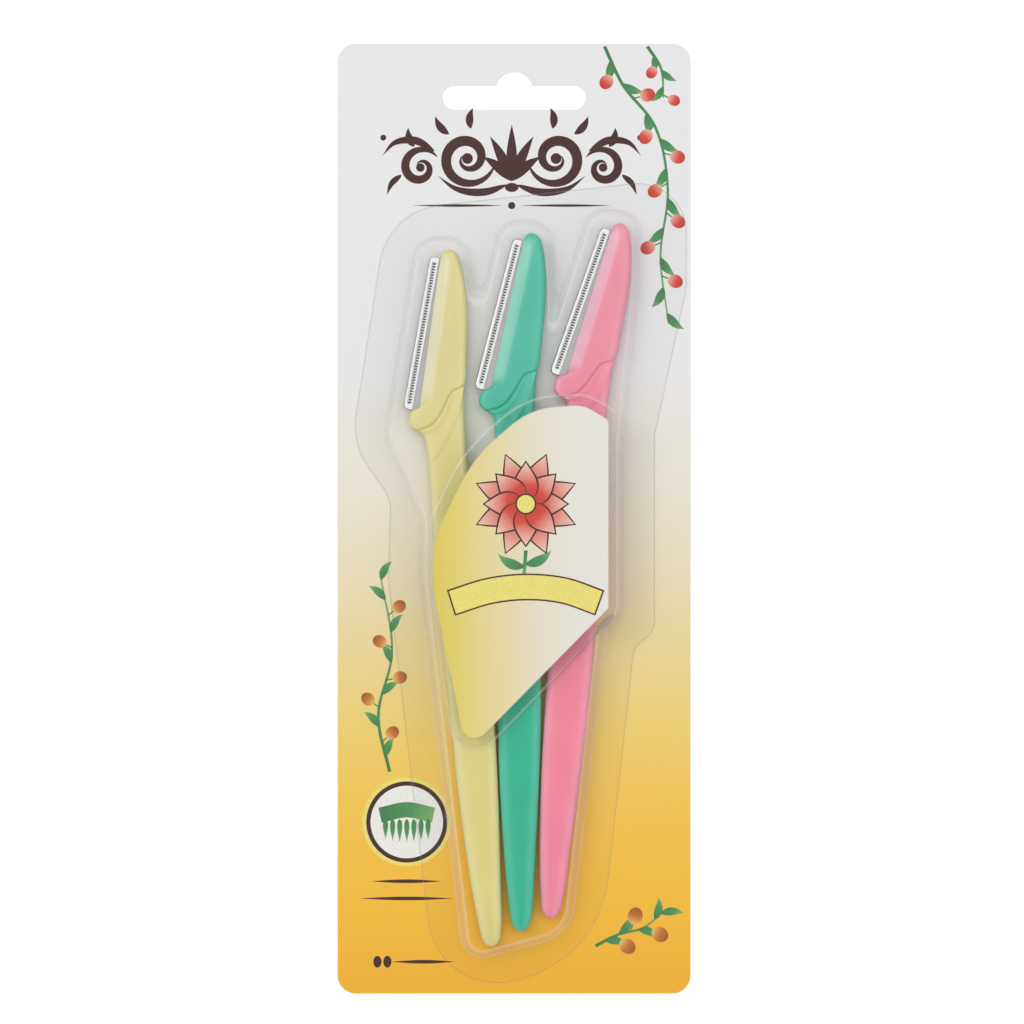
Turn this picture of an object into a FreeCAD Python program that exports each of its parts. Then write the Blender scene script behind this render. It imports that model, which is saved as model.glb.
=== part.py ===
"""Carded set of eyebrow razors: hang card, clear blister, front label and three razors.

Millimetres and degrees. The pack lies on its back: the origin is the middle of the card's back face,
+X runs to the right across the card, +Y up towards the hang slot and +Z out of the card's front.
"""
import FreeCAD, Part
import Sketcher
import math
import os
from FreeCAD import Placement, Rotation, Vector

UP = Vector(0, 0, 1)
RAZORS = ("yellow", "green", "pink")

doc = FreeCAD.newDocument("razor_set")

# Driving dimensions: name, value, what it measures
SIZES = [
    ("card_width", 78.0, "hang card, across"),
    ("card_height", 210.0, "hang card, top to bottom"),
    ("card_thickness", 0.5, "board"),
    ("card_corner", 4.0, "corner radius of the card"),
    ("hang_slot_width", 31.75, "euro slot, end to end"),
    ("hang_slot_height", 5.4, "euro slot, straight part"),
    ("hang_slot_drop", 11.9, "card's top edge to the middle of the slot"),
    ("hang_bump_radius", 4.2, "round notch above the slot"),
    ("hang_bump_lift", 1.5, "middle of the notch above the middle of the slot"),
    ("razor_length", 154.0, "tip to butt"),
    ("spine_reach", 3.5, "back of the head, from the razor's line"),
    ("head_thickness", 4.2, "head, front to back"),
    ("grip_width", 9.9, "widest part of the grip"),
    ("grip_thickness", 5.4, "thickest part of the grip"),
    ("edge_round", 1.3, "rounding of the handle's long edges"),
    ("ledge_side", 1.6, "start of the blade ledge, left of the razor's line"),
    ("ledge_drop", 1.3, "start of the blade ledge, below the tip"),
    ("ledge_angle", 11.6, "lean of the blade ledge"),
    ("ledge_thickness", 1.5, "plastic lips that hold the blade, together"),
    ("bevel_width", 2.0, "sloping strip beside the blade, seen from the front"),
    ("shoulder_height", 5.6, "shoulder under the blade, along the blade"),
    ("shoulder_inset", 1.5, "shoulder's outer side, in from the cover's fold"),
    ("shoulder_depth", 7.0, "shoulder, from its outer side into the neck"),
    ("leaf_depth", 0.3, "step between the leaf-like layers of the neck"),
    ("blade_length", 34.1, "blade and cover, along the edge"),
    ("blade_width", 3.65, "cutting edge to back"),
    ("blade_thickness", 0.25, "blade strip"),
    ("blade_angle", 13.8, "lean of the cutting edge"),
    ("blade_grind", 0.5, "ground bevel of the edge"),
    ("blade_hole_radius", 0.35, "locating hole"),
    ("blade_hole_drop", 2.0, "locating hole, below the blade's top end"),
    ("blade_seat_gap", 0.03, "blade to the walls of its slot"),
    ("fold_side", 3.9, "top of the cover's fold, left of the razor's line"),
    ("fold_drop", 1.2, "top of the cover's fold, below the tip"),
    ("cover_wall", 0.12, "foil of the safety cover"),
    ("cover_gap", 0.03, "foil to blade"),
    ("cover_arm", 2.0, "fold to the end of the foil"),
    ("cover_rim", 0.9, "fold to the row of slots"),
    ("cover_slot_reach", 0.57, "slot, across the cover"),
    ("cover_slot_width", 0.3, "slot, along the cover"),
    ("cover_slot_pitch", 0.62, "slot to slot"),
    ("rest_gap", 0.15, "lowest point of a razor above the card"),
    ("yellow_rise", 10.6, "yellow razor's butt above the card's lower edge"),
    ("yellow_turn", 3.65, "turn of the yellow razor, counter-clockwise"),
    ("green_rise", 14.0, "green razor's butt above the card's lower edge"),
    ("green_turn", -0.81, "turn of the green razor"),
    ("green_side", 3.8, "green razor's tip, right of the card's middle"),
    ("pink_rise", 16.9, "pink razor's butt above the card's lower edge"),
    ("pink_turn", -5.7, "turn of the pink razor"),
    ("razor_gap", 0.4, "gap between two grips where they come closest"),
    ("film_thickness", 0.35, "blister film"),
    ("headroom", 0.6, "razors' front to the inside of the pocket"),
    ("wall_run", 1.2, "slope of the pocket's wall, seen from the front"),
    ("pocket_blade_gap", 3.2, "cover to the foot of the pocket's wall"),
    ("pocket_tip_gap", 2.9, "tip to the foot of the pocket's wall"),
    ("pocket_spine_gap", 2.1, "back of the head to the foot of the pocket's wall"),
    ("pocket_grip_gap", 1.8, "grips to the foot of the pocket's wall"),
    ("pocket_end_gap", 3.2, "butts to the foot of the pocket's wall"),
    ("panel_rise", 3.0, "raised panel above the pocket's roof"),
    ("panel_run", 2.2, "slope of the panel's edge, seen from the front"),
    ("panel_margin", 0.3, "label to the edge of the raised panel"),
    ("panel_foot_gap", 3.5, "label's sides to the foot of the pocket's wall"),
    ("flange_width", 7.0, "sealing flange around the pocket"),
    ("flange_margin", 0.8, "sealing flange to the card's right edge"),
    ("label_right", 20.7, "place of the label's straight side"),
    ("label_rise", 53.8, "lowest point of the label above the card's lower edge"),
    ("label_width", 38.4, "label, across"),
    ("label_height", 76.1, "label, top to the point of its lower corner"),
    ("label_thickness", 0.15, "label paper"),
    ("overrun", 1.0, "how far a cut runs past the face it opens"),
]

# The handle as seen from the front and from its side, station by station from the tip to the butt.
# Head: share of the head's length, left edge as a share of the ledge's start, right edge as a share
# of the spine's reach, thickness as a share of the head's. Past the nose the left edge is the ledge.
NOSE_SHARES = [(0.0, 0.25, 0.15, 0.36), (0.018, 0.75, 0.42, 0.57), (0.04, 0.97, 0.57, 0.69)]
HEAD_SHARES = [(0.0875, 0.73, 0.79), (0.204, 0.93, 0.93), (0.32, 1.0, 1.0), (0.466, 0.957, 1.0),
               (0.64, 0.80, 1.0), (0.80, 0.657, 1.0), (0.883, 0.53, 1.0), (0.99, 0.43, 1.0)]
# Grip: share of the length below the head, then left edge, right edge and thickness as shares of
# the grip's width and thickness.
GRIP_SHARES = [(0.043, 0.782, 0.129, 0.80), (0.098, 0.738, 0.134, 0.84), (0.215, 0.723, 0.198, 0.90),
               (0.365, 0.693, 0.292, 0.97), (0.524, 0.634, 0.366, 1.0), (0.616, 0.589, 0.372, 1.0),
               (0.708, 0.545, 0.356, 0.97), (0.816, 0.455, 0.312, 0.89), (0.891, 0.376, 0.277, 0.80),
               (0.967, 0.255, 0.23, 0.66), (0.985, 0.215, 0.19, 0.52), (0.995, 0.145, 0.125, 0.36),
               (1.0, 0.065, 0.055, 0.22)]
# Where neighbouring grips come closest: shares of the length below the head and of the grip's width
PINCH_LEFT_SHARES = (0.727, 0.53)
PINCH_RIGHT_SHARES = (0.70, 0.358)
# Rounding of the handle's edges, at most this share of its width and thickness there
SECTION_ROUND_SHARE = 0.46
# Flat of the cutting edge, as a share of the blade's thickness
EDGE_FLAT_SHARE = 0.1
# Shoulder under the blade: shares of its depth and height, and corner radius as a share of the height
SHOULDER_SHARES = [(0.0, 0.0, 0.12), (0.0, 0.70, 0.36), (0.52, 0.76, 0.30), (0.72, 1.2, 0.20),
                   (1.0, 1.2, 0.02), (1.0, 0.0, 0.02)]
# Leaf-like step on the neck: two curves from the notch in the spine to the left edge, as shares of the
# grip's width to the left of the razor's line and of the shoulder's height below the head
LEAF_UPPER_SHARES = [(-0.24, -0.72), (0.08, -0.20), (0.42, 0.36), (0.76, 0.72), (1.25, 0.86)]
LEAF_LOWER_SHARES = [(1.25, 2.9), (0.74, 2.35), (0.44, 1.62), (0.16, 0.73), (-0.07, 0.02), (-0.24, -0.72)]
# Label: shares of its width to the left of its straight side and of its height below its top, and
# corner radius as a share of its width
LABEL_SHARES = [(0.0, 0.0434, 0.04), (0.143, 0.0, 0.20), (0.445, 0.0105, 0.50), (0.772, 0.1537, 0.85),
                (1.0, 0.3876, 0.50), (1.0, 0.531, 0.80), (0.81, 1.0, 0.078), (0.0, 0.585, 0.02)]
# Head pocket around each razor: hip and foot as shares of the head's length, and the place of the
# right side's bend as a share of the hip's depth
LOBE_HIP_SHARE = 1.16
LOBE_FOOT_SHARE = 1.62
LOBE_BEND_SHARE = 0.33
LOBE_TIP_SHARE = 0.5
LOBE_SIDE_SHARE = 1.12
# Pocket under the label: its two upper corners, and the one below the label on the left and on the right,
# as shares of the label's width and height and of the gap beside it
MIDDLE_SHARES = [(0.0, -0.192, 1.0), (1.0, -0.297, -0.75), (1.0, 0.50, -0.92), (0.0, 0.61, 1.0)]
# Pocket around the grips: where it narrows below the label, and how far it stands off at its two ends, as
# shares of the length below the head and of the grip's width
TAIL_TOP_SHARE = 0.46
TAIL_LEFT_SHARES = (0.70, 0.46)
TAIL_RIGHT_SHARES = (0.385, 0.30)
# Waist of the sealing flange: shares of the label's height and of the gap beside it
WAIST_SHARES = [(0.245, -0.75), (0.074, 1.0)]
# Corner radii as shares of the grip's width
LOBE_CORNER_SHARES = (0.55, 0.50, 0.50, 0.50, 0.90, 0.50)
POCKET_CORNER_SHARES = (0.40, 0.40, 0.90, 0.48, 0.90, 0.40, 0.40)
FLANGE_CORNER_SHARES = (0.8, 0.9, 1.5, 1.5, 0.85, 1.9, 1.2, 0.2, 0.9, 0.8, 0.8)
# A rounded corner takes at most this share of the shorter side next to it
CORNER_REACH_SHARE = 0.49


def write_sheet():
    """Put every driving dimension in the sheet as a plain number with an alias."""
    sheet = doc.addObject("Spreadsheet::Sheet", "sizes")
    for row, (name, value, note) in enumerate(SIZES, start=1):
        sheet.set(f"A{row}", name)
        sheet.set(f"B{row}", str(value))
        sheet.set(f"C{row}", note)
        sheet.setAlias(f"B{row}", name)
    doc.recompute()
    return sheet


sheet = write_sheet()


def size(name):
    """Value of one driving dimension, read from the sheet."""
    return float(sheet.get(name))


def bind(item, **expressions):
    """Tie an object's properties to the sheet; a name such as Base_x stands for Placement.Base.x."""
    for name, expression in expressions.items():
        target = name.replace("Base_", "Placement.Base.")
        item.setExpression(target, expression)
    return item


def make(kind, name, **expressions):
    """Add an object of the given kind whose sizes follow the sheet."""
    return bind(doc.addObject(kind, name), **expressions)


def feature(name, shape):
    """Add a shape that neither sketches nor primitives give."""
    item = doc.addObject("Part::Feature", name)
    item.Shape = shape
    return item


# Outlines with rounded corners

def turn_at(corners, index):
    """Corner point, unit directions in and out, and the signed turn there."""
    point = corners[index][0]
    before = (point - corners[index - 1][0]).normalize()
    after = (corners[(index + 1) % len(corners)][0] - point).normalize()
    turn = math.atan2(before.cross(after).z, before.dot(after))
    return point, before, after, turn


def grown(corners, distance):
    """Move every side of a counter-clockwise outline outwards; corner radii follow."""
    moved = []
    for index, (_, radius) in enumerate(corners):
        point, before, after, turn = turn_at(corners, index)
        normal_in = Vector(before.y, -before.x, 0)
        normal_out = Vector(after.y, -after.x, 0)
        shift = (normal_in + normal_out) * (distance / (1 + normal_in.dot(normal_out)))
        sign = 1 if turn > 0 else -1
        moved.append((point + shift, max(radius + sign * distance, size("film_thickness"))))
    return moved


def outline(corners, height):
    """Closed wire of straight sides and tangent arcs at the given height."""
    lift = Vector(0, 0, height)
    ends = []
    for index, (_, radius) in enumerate(corners):
        point, before, after, turn = turn_at(corners, index)
        sides = [point - corners[index - 1][0], corners[(index + 1) % len(corners)][0] - point]
        widest = CORNER_REACH_SHARE * min(side.Length for side in sides)
        reach = min(radius * math.tan(abs(turn) / 2), widest)
        radius = reach / math.tan(abs(turn) / 2)
        bisector = (after - before).normalize()
        middle = point + bisector * (radius / math.cos(turn / 2) - radius)
        ends.append((point - before * reach + lift, middle + lift, point + after * reach + lift))
    edges = []
    for index, (start, middle, end) in enumerate(ends):
        edges.append(Part.Arc(start, middle, end).toShape())
        edges.append(Part.makeLine(end, ends[(index + 1) % len(ends)][0]))
    return Part.Wire(edges)


def prism(corners, low, high):
    """Plate with the given outline between two heights."""
    return Part.Face(outline(corners, low)).extrude(UP * (high - low))


def frustum(corners, low, high, run):
    """Block whose walls lean in by run from its foot to its top."""
    return Part.makeLoft([outline(corners, low), outline(grown(corners, -run), high)], True, True)


# Heights in the pack
card_front = size("card_thickness")
razor_middle = card_front + size("rest_gap") + size("grip_thickness") / 2
roof = (card_front + size("rest_gap") + size("grip_thickness") + size("headroom")
        + size("film_thickness"))
panel_top = roof + size("panel_rise")

# The razor's own frame: origin at the tip, -Y towards the butt, Z = 0 in its middle plane
head_length = size("fold_drop") + size("blade_length") * math.cos(math.radians(size("blade_angle")))
grip_length = size("razor_length") - head_length
blade_place = Placement(Vector(-size("fold_side"), -size("fold_drop"), 0),
                        Rotation(UP, -size("blade_angle")))


def turned(colour, x, y):
    """Offset from a razor's tip of a point in its own frame, once the razor is turned."""
    return Rotation(UP, size(colour + "_turn")).multVec(Vector(x, y, 0))


def pinch(colour, side):
    """Offset from a razor's tip of the point where its left (-1) or right (1) neighbour comes closest."""
    depth, out = PINCH_LEFT_SHARES if side < 0 else PINCH_RIGHT_SHARES
    return turned(colour, side * out * size("grip_width"), -head_length - depth * grip_length)


def razor_place(colour):
    """Where one razor lies in the pack: yellow and pink keep a gap to green, between them."""
    across = {"green": size("green_side"),
              "yellow": size("green_side") + (pinch("green", -1) - pinch("yellow", 1)).x - size("razor_gap"),
              "pink": size("green_side") + (pinch("green", 1) - pinch("pink", -1)).x + size("razor_gap")}
    butt = turned(colour, 0, -size("razor_length"))
    up = size(colour + "_rise") - size("card_height") / 2 - butt.y
    return Placement(Vector(across[colour], up, razor_middle), Rotation(UP, size(colour + "_turn")))


def ledge_at(depth):
    """Left edge of the head beside the blade, at a depth below the tip."""
    lean = math.tan(math.radians(size("ledge_angle")))
    return -size("ledge_side") - (depth - size("ledge_drop")) * lean


# Card

def backing_card():
    """Rounded board with a euro hang slot cut through it."""
    body = doc.addObject("PartDesign::Body", "card_board")
    plane = [item for item in body.Origin.OriginFeatures if item.Role == "XY_Plane"][0]
    sketch = body.newObject("Sketcher::SketchObject", "card_outline")
    sketch.AttachmentSupport = [(plane, "")]
    sketch.MapMode = "FlatFace"
    half_width = size("card_width") / 2
    half_height = size("card_height") / 2
    corners = [Vector(-half_width, -half_height, 0), Vector(half_width, -half_height, 0),
               Vector(half_width, half_height, 0), Vector(-half_width, half_height, 0)]
    constrain_rectangle(sketch, corners)
    pad = body.newObject("PartDesign::Pad", "card_pad")
    pad.Profile = sketch
    bind(pad, Length="sizes.card_thickness")
    doc.recompute()
    upright = [f"Edge{number}" for number, edge in enumerate(pad.Shape.Edges, start=1)
               if edge.BoundBox.ZLength > edge.BoundBox.XLength + edge.BoundBox.YLength]
    rounding = body.newObject("PartDesign::Fillet", "card_corners")
    rounding.Base = (pad, upright)
    bind(rounding, Radius="sizes.card_corner")
    body.Tip = rounding
    cut = doc.addObject("Part::Cut", "backing_card")
    cut.Base = body
    cut.Tool = hang_slot()
    return cut


def constrain_rectangle(sketch, corners):
    """Four sides, square, centred on the origin, with the card's width and height."""
    for index in range(4):
        sketch.addGeometry(Part.LineSegment(corners[index], corners[(index + 1) % 4]), False)
    for index in range(4):
        sketch.addConstraint(Sketcher.Constraint("Coincident", index, 2, (index + 1) % 4, 1))
    for index, direction in enumerate(("Horizontal", "Vertical", "Horizontal", "Vertical")):
        sketch.addConstraint(Sketcher.Constraint(direction, index))
    sketch.addConstraint(Sketcher.Constraint("Symmetric", 0, 1, 1, 2, -1, 1))
    across = sketch.addConstraint(Sketcher.Constraint("DistanceX", 0, 1, 0, 2, size("card_width")))
    tall = sketch.addConstraint(Sketcher.Constraint("DistanceY", 1, 1, 1, 2, size("card_height")))
    sketch.setExpression(f"Constraints[{across}]", "sizes.card_width")
    sketch.setExpression(f"Constraints[{tall}]", "sizes.card_height")


def hang_slot():
    """Tool for the hang slot: a slot with round ends and a round notch above its middle."""
    middle = "sizes.card_height / 2 - sizes.hang_slot_drop"
    deep = "sizes.card_thickness + 2 * sizes.overrun"
    below = "-sizes.overrun"
    straight = make("Part::Box", "hang_straight",
                    Length="sizes.hang_slot_width - sizes.hang_slot_height",
                    Width="sizes.hang_slot_height", Height=deep,
                    Base_x="-(sizes.hang_slot_width - sizes.hang_slot_height) / 2",
                    Base_y=middle + " - sizes.hang_slot_height / 2", Base_z=below)
    reach = "(sizes.hang_slot_width - sizes.hang_slot_height) / 2"
    ends = [make("Part::Cylinder", "hang_end_" + side, Radius="sizes.hang_slot_height / 2",
                 Height=deep, Base_x=sign + reach, Base_y=middle, Base_z=below)
            for side, sign in (("left", "-"), ("right", ""))]
    bump = make("Part::Cylinder", "hang_bump", Radius="sizes.hang_bump_radius", Height=deep,
                Base_y=middle + " + sizes.hang_bump_lift", Base_z=below)
    tool = doc.addObject("Part::MultiFuse", "hang_slot")
    tool.Shapes = [straight, *ends, bump]
    return tool


# Handle

def section(depth, left, right, thickness):
    """Rounded rectangle across the handle at a depth below the tip."""
    half = thickness / 2
    radius = min(size("edge_round"), SECTION_ROUND_SHARE * thickness, SECTION_ROUND_SHARE * (right - left))
    square = [(left, -half), (right, -half), (right, half), (left, half)]
    corners = [(Vector(x, z, 0), radius) for x, z in square]
    wire = outline(corners, 0)
    wire.Placement = Placement(Vector(0, -depth, 0), Rotation(Vector(1, 0, 0), 90))
    return wire


def handle_loft():
    """Nose, head, neck and grip in one skin through the stations of the tables."""
    stations = []
    for depth, left, right, thick in NOSE_SHARES:
        stations.append((depth * head_length, -left * size("ledge_side"), right * size("spine_reach"),
                         thick * size("head_thickness")))
    for depth, right, thick in HEAD_SHARES:
        stations.append((depth * head_length, ledge_at(depth * head_length),
                         right * size("spine_reach"), thick * size("head_thickness")))
    for depth, left, right, thick in GRIP_SHARES:
        stations.append((head_length + depth * grip_length, -left * size("grip_width"),
                         right * size("grip_width"), thick * size("grip_thickness")))
    return Part.makeLoft([section(*station) for station in stations], True, False)


def shoulder():
    """Rounded ear under the blade, flush with the head's faces."""
    high = size("shoulder_height")
    seat = -size("blade_length") - size("blade_seat_gap")
    corners = [(Vector(size("shoulder_inset") + x * size("shoulder_depth"), seat - y * high, 0), r * high)
               for x, y, r in SHOULDER_SHARES]
    half = size("head_thickness") / 2
    ear = prism(corners, -half, half)
    rims = [edge for edge in ear.Edges if abs(abs(edge.CenterOfMass.z) - half) < size("cover_gap")
            and edge.CenterOfMass.x < size("shoulder_inset") + size("shoulder_depth") / 2
            and edge.CenterOfMass.y < seat - size("cover_gap")]
    ear = ear.makeFillet(size("edge_round") / 2, rims)
    ear.Placement = blade_place
    return ear


def bevel_cut(side):
    """Tool for the sloping strip beside the blade, on the front (1) or the back (-1)."""
    rise = (size("head_thickness") - size("ledge_thickness")) / 2
    slope = math.degrees(math.atan2(rise, size("bevel_width")))
    length = head_length / math.cos(math.radians(size("ledge_angle")))
    across = math.hypot(rise, size("bevel_width"))
    end_radius = across / 2
    strip = Part.makeBox(size("overrun") + across, length + size("overrun"), size("head_thickness"),
                         Vector(-size("overrun"), -length, 0))
    end = Part.makeCylinder(end_radius, size("head_thickness"), Vector(end_radius, -length, 0))
    tool = strip.fuse(end)
    tool.rotate(Vector(0, 0, 0), Vector(0, 1, 0), -slope)
    tool.translate(UP * (size("ledge_thickness") / 2))
    if side < 0:
        tool = tool.mirror(Vector(0, 0, 0), UP)
    tool.rotate(Vector(0, 0, 0), UP, -size("ledge_angle"))
    tool.translate(Vector(ledge_at(0), 0, 0))
    return tool


def leaf_cut(side):
    """Tool for the stepped leaf on the neck, on the front (1) or the back (-1)."""
    def curve(shares):
        points = [Vector(-u * size("grip_width"), -head_length - v * size("shoulder_height"), 0)
                  for u, v in shares]
        spline = Part.BSplineCurve()
        spline.interpolate(points)
        return spline.toShape()
    upper = curve(LEAF_UPPER_SHARES)
    lower = curve(LEAF_LOWER_SHARES)
    closing = Part.makeLine(upper.Vertexes[-1].Point, lower.Vertexes[0].Point)
    face = Part.Face(Part.Wire([upper, closing, lower]))
    floor = size("head_thickness") / 2 - size("leaf_depth")
    tool = face.extrude(UP * size("head_thickness"))
    tool.translate(UP * floor)
    return tool if side > 0 else tool.mirror(Vector(0, 0, 0), UP)


def blade_slot():
    """Room for the blade between the lips of the ledge."""
    gap = size("blade_seat_gap")
    room = Part.makeBox(size("blade_width") + gap, size("blade_length") + gap,
                        size("blade_thickness") + 2 * gap,
                        Vector(size("cover_rim"), -size("blade_length") - gap,
                               -size("blade_thickness") / 2 - gap))
    room.Placement = blade_place
    return room


def handle_moulding():
    """Handle of one razor, with its blade ledge, slot, shoulder and leaf-like neck."""
    solid = handle_loft().fuse(shoulder())
    for side in (1, -1):
        solid = solid.cut(bevel_cut(side)).cut(leaf_cut(side))
    solid = solid.cut(blade_slot())
    return feature("handle_moulding", solid.removeSplitter())


# Blade and safety cover, in the blade's frame: X from the fold into the head, -Y down the blade

def blade_strip():
    """Steel strip with a ground edge and a locating hole."""
    half = "sizes.blade_thickness / 2"
    edge_sides = [(1 + sign * EDGE_FLAT_SHARE) / 2 for sign in (-1, 1)]
    strip = make("Part::Box", "blade_flat", Length="sizes.blade_width - sizes.blade_grind",
                 Width="sizes.blade_length", Height="sizes.blade_thickness",
                 Base_x="sizes.cover_rim + sizes.blade_grind", Base_y="-sizes.blade_length",
                 Base_z="-" + half)
    edge = make("Part::Wedge", "blade_ground_edge", Xmin="0", Xmax="sizes.blade_thickness",
                Ymin="0", Ymax="sizes.blade_grind", Zmin="0", Zmax="sizes.blade_length",
                X2min=f"{edge_sides[0]} * sizes.blade_thickness",
                X2max=f"{edge_sides[1]} * sizes.blade_thickness",
                Z2min="0", Z2max="sizes.blade_length",
                Base_x="sizes.cover_rim + sizes.blade_grind", Base_z="-" + half)
    edge.Placement = Placement(edge.Placement.Base, Rotation(Vector(0, 0, 1), Vector(-1, 0, 0),
                                                             Vector(0, -1, 0), "ZXY"))
    whole = doc.addObject("Part::Fuse", "blade_whole")
    whole.Base = strip
    whole.Tool = edge
    hole = make("Part::Cylinder", "blade_hole", Radius="sizes.blade_hole_radius",
                Height="sizes.blade_thickness + 2 * sizes.overrun",
                Base_x="sizes.cover_arm + sizes.blade_hole_radius",
                Base_y="-sizes.blade_hole_drop", Base_z="-" + half + " - sizes.overrun")
    blade = doc.addObject("Part::Cut", "blade_strip")
    blade.Base = whole
    blade.Tool = hole
    blade.Placement = blade_place
    return blade


def folded_sheet(name, radius, length, drop):
    """Flat sheet with a half-round fold along X = cover wall, as a solid of twice the radius."""
    fold = make("Part::Cylinder", name + "_fold", Radius=radius, Height=length,
                Base_x="sizes.blade_thickness / 2 + sizes.cover_gap + sizes.cover_wall", Base_y=drop)
    fold.Placement = Placement(fold.Placement.Base, Rotation(Vector(1, 0, 0), 90))
    arms = make("Part::Box", name + "_arms", Length="sizes.cover_arm", Width=length,
                Height=f"2 * ({radius})",
                Base_x="sizes.blade_thickness / 2 + sizes.cover_gap + sizes.cover_wall",
                Base_y=f"{drop} - ({length})", Base_z=f"-({radius})")
    both = doc.addObject("Part::Fuse", name)
    both.Base = fold
    both.Tool = arms
    return both


def safety_cover():
    """Folded foil over the cutting edge, with a row of slots through both sides."""
    inside = "sizes.blade_thickness / 2 + sizes.cover_gap"
    outer = folded_sheet("cover_outer", inside + " + sizes.cover_wall", "sizes.blade_length", "0")
    inner = folded_sheet("cover_inner", inside, "sizes.blade_length + 2 * sizes.overrun", "sizes.overrun")
    trim = make("Part::Box", "cover_trim", Length="sizes.cover_arm",
                Width="sizes.blade_length + 2 * sizes.overrun", Height="2 * sizes.overrun",
                Base_x="sizes.cover_arm",
                Base_y="-sizes.blade_length - sizes.overrun", Base_z="-sizes.overrun")
    shell = doc.addObject("Part::Cut", "cover_shell")
    shell.Base = outer
    shell.Tool = inner
    foil = doc.addObject("Part::Cut", "cover_foil")
    foil.Base = shell
    foil.Tool = trim
    cover = doc.addObject("Part::Cut", "safety_cover")
    cover.Base = foil
    cover.Tool = slot_row()
    cover.Placement = blade_place
    return cover


def slot_row():
    """Evenly spaced slots that leave a whole pitch of foil at each end."""
    pitch = size("cover_slot_pitch")
    count = int(size("blade_length") / pitch) - 1
    first = (size("blade_length") - (count - 1) * pitch) / 2
    deep = size("blade_thickness") + 2 * (size("cover_gap") + size("cover_wall") + size("overrun"))
    slots = [Part.makeBox(size("cover_slot_reach"), size("cover_slot_width"), deep,
                          Vector(size("cover_rim"), -first - index * pitch - size("cover_slot_width") / 2,
                                 -deep / 2))
             for index in range(count)]
    return feature("cover_slots", Part.makeCompound(slots))


# Label and blister

def label_point(across, down, aside=0.0):
    """Point at shares of the label's width and height, moved right by a share of the gap beside it."""
    top = size("label_rise") + size("label_height") - size("card_height") / 2
    return Vector(size("label_right") - across * size("label_width") + aside * size("panel_foot_gap"),
                  top - down * size("label_height"), 0)


def label_corners():
    """Label outline, counter-clockwise."""
    return [(label_point(x, y), r * size("label_width")) for x, y, r in LABEL_SHARES]


def front_label():
    """Paper label on top of the raised panel."""
    return feature("front_label", prism(label_corners(), panel_top, panel_top + size("label_thickness")))


def rounded(points, shares):
    """Outline corners with radii given as shares of the grip's width."""
    return [(point, share * size("grip_width")) for point, share in zip(points, shares)]


def lobe_points(colour):
    """Head pocket around one razor, counter-clockwise from its top left corner."""
    tip = size("pocket_tip_gap")
    lean = math.tan(math.radians(size("blade_angle")))
    hip = LOBE_HIP_SHARE * head_length
    foot = LOBE_FOOT_SHARE * head_length
    right = size("spine_reach") + size("pocket_spine_gap")
    hip_side = size("fold_side") + (hip - size("fold_drop")) * lean + size("pocket_blade_gap")
    local = [(-size("fold_side") - size("pocket_blade_gap"), tip), (-hip_side, -hip),
             (-LOBE_SIDE_SHARE * size("grip_width"), -foot), (right, -foot), (right, -LOBE_BEND_SHARE * hip),
             (right - LOBE_TIP_SHARE * tip, tip)]
    place = razor_place(colour)
    return [flat(place.multVec(Vector(x, y, 0))) for x, y in local]


def flat(point):
    """The point's place in the plane of the card."""
    return Vector(point.x, point.y, 0)


def pocket_points():
    """Pocket under the label and around the grips, counter-clockwise from its top right corner."""
    gap = size("pocket_grip_gap")
    narrow = -head_length - TAIL_TOP_SHARE * grip_length
    end = -size("razor_length") - size("pocket_end_gap")
    left = [-share * size("grip_width") - gap for share in TAIL_LEFT_SHARES]
    right = [share * size("grip_width") + gap for share in TAIL_RIGHT_SHARES]
    places = [("yellow", left[1], end), ("pink", right[1], end), ("pink", right[0], narrow)]
    tail = [flat(razor_place(colour).multVec(Vector(x, y, 0))) for colour, x, y in places]
    top_right, top_left, waist_left, waist_right = [label_point(*shares) for shares in MIDDLE_SHARES]
    beside = flat(razor_place("yellow").multVec(Vector(left[0], narrow, 0)))
    waist_left.x = min(waist_left.x, beside.x)
    return [top_right, top_left, waist_left, *tail, waist_right]


def pocket(inset_for, drop):
    """All the room of the blister as one block, shrunk for the film's inner side."""
    foot = card_front - drop
    low_roof = roof - drop
    top = panel_top - drop
    lean = size("wall_run") / (roof - card_front)
    thin = inset_for(math.atan2(1, lean))
    lobes = [grown(rounded(lobe_points(colour), LOBE_CORNER_SHARES), -thin) for colour in RAZORS]
    blocks = [frustum(corners, foot, low_roof, size("wall_run")) for corners in lobes]
    tall_run = lean * (top - foot)
    walls = frustum(grown(rounded(pocket_points(), POCKET_CORNER_SHARES), -thin), foot, top, tall_run)
    panel_thin = inset_for(math.atan2(size("panel_rise"), size("panel_run")))
    panel = grown(label_corners(), size("panel_margin") + size("panel_run") - panel_thin)
    slab = Part.makeBox(size("card_width"), size("card_height"), low_roof - foot,
                        Vector(-size("card_width") / 2, -size("card_height") / 2, foot))
    ceiling = slab.fuse(frustum(panel, low_roof, top, size("panel_run")))
    block = walls.common(ceiling)
    for lobe in blocks:
        block = block.fuse(lobe)
    return block


def flange_corners():
    """Sealing flange, counter-clockwise from its top left corner."""
    yellow = lobe_points("yellow")
    pink = lobe_points("pink")
    _, _, waist_left, end_left, end_right, narrow, waist_right = pocket_points()
    upper = [label_point(across, down, aside) for across, (down, aside) in zip((1.0, 0.0), WAIST_SHARES)]
    side = size("card_width") / 2 - size("flange_margin") - size("flange_width")
    points = [yellow[0], yellow[1], upper[0], waist_left, end_left, end_right, narrow, waist_right, upper[1],
              Vector(side, pink[4].y, 0), Vector(side, pink[5].y, 0)]
    return grown(rounded(points, FLANGE_CORNER_SHARES), size("flange_width"))


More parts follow.
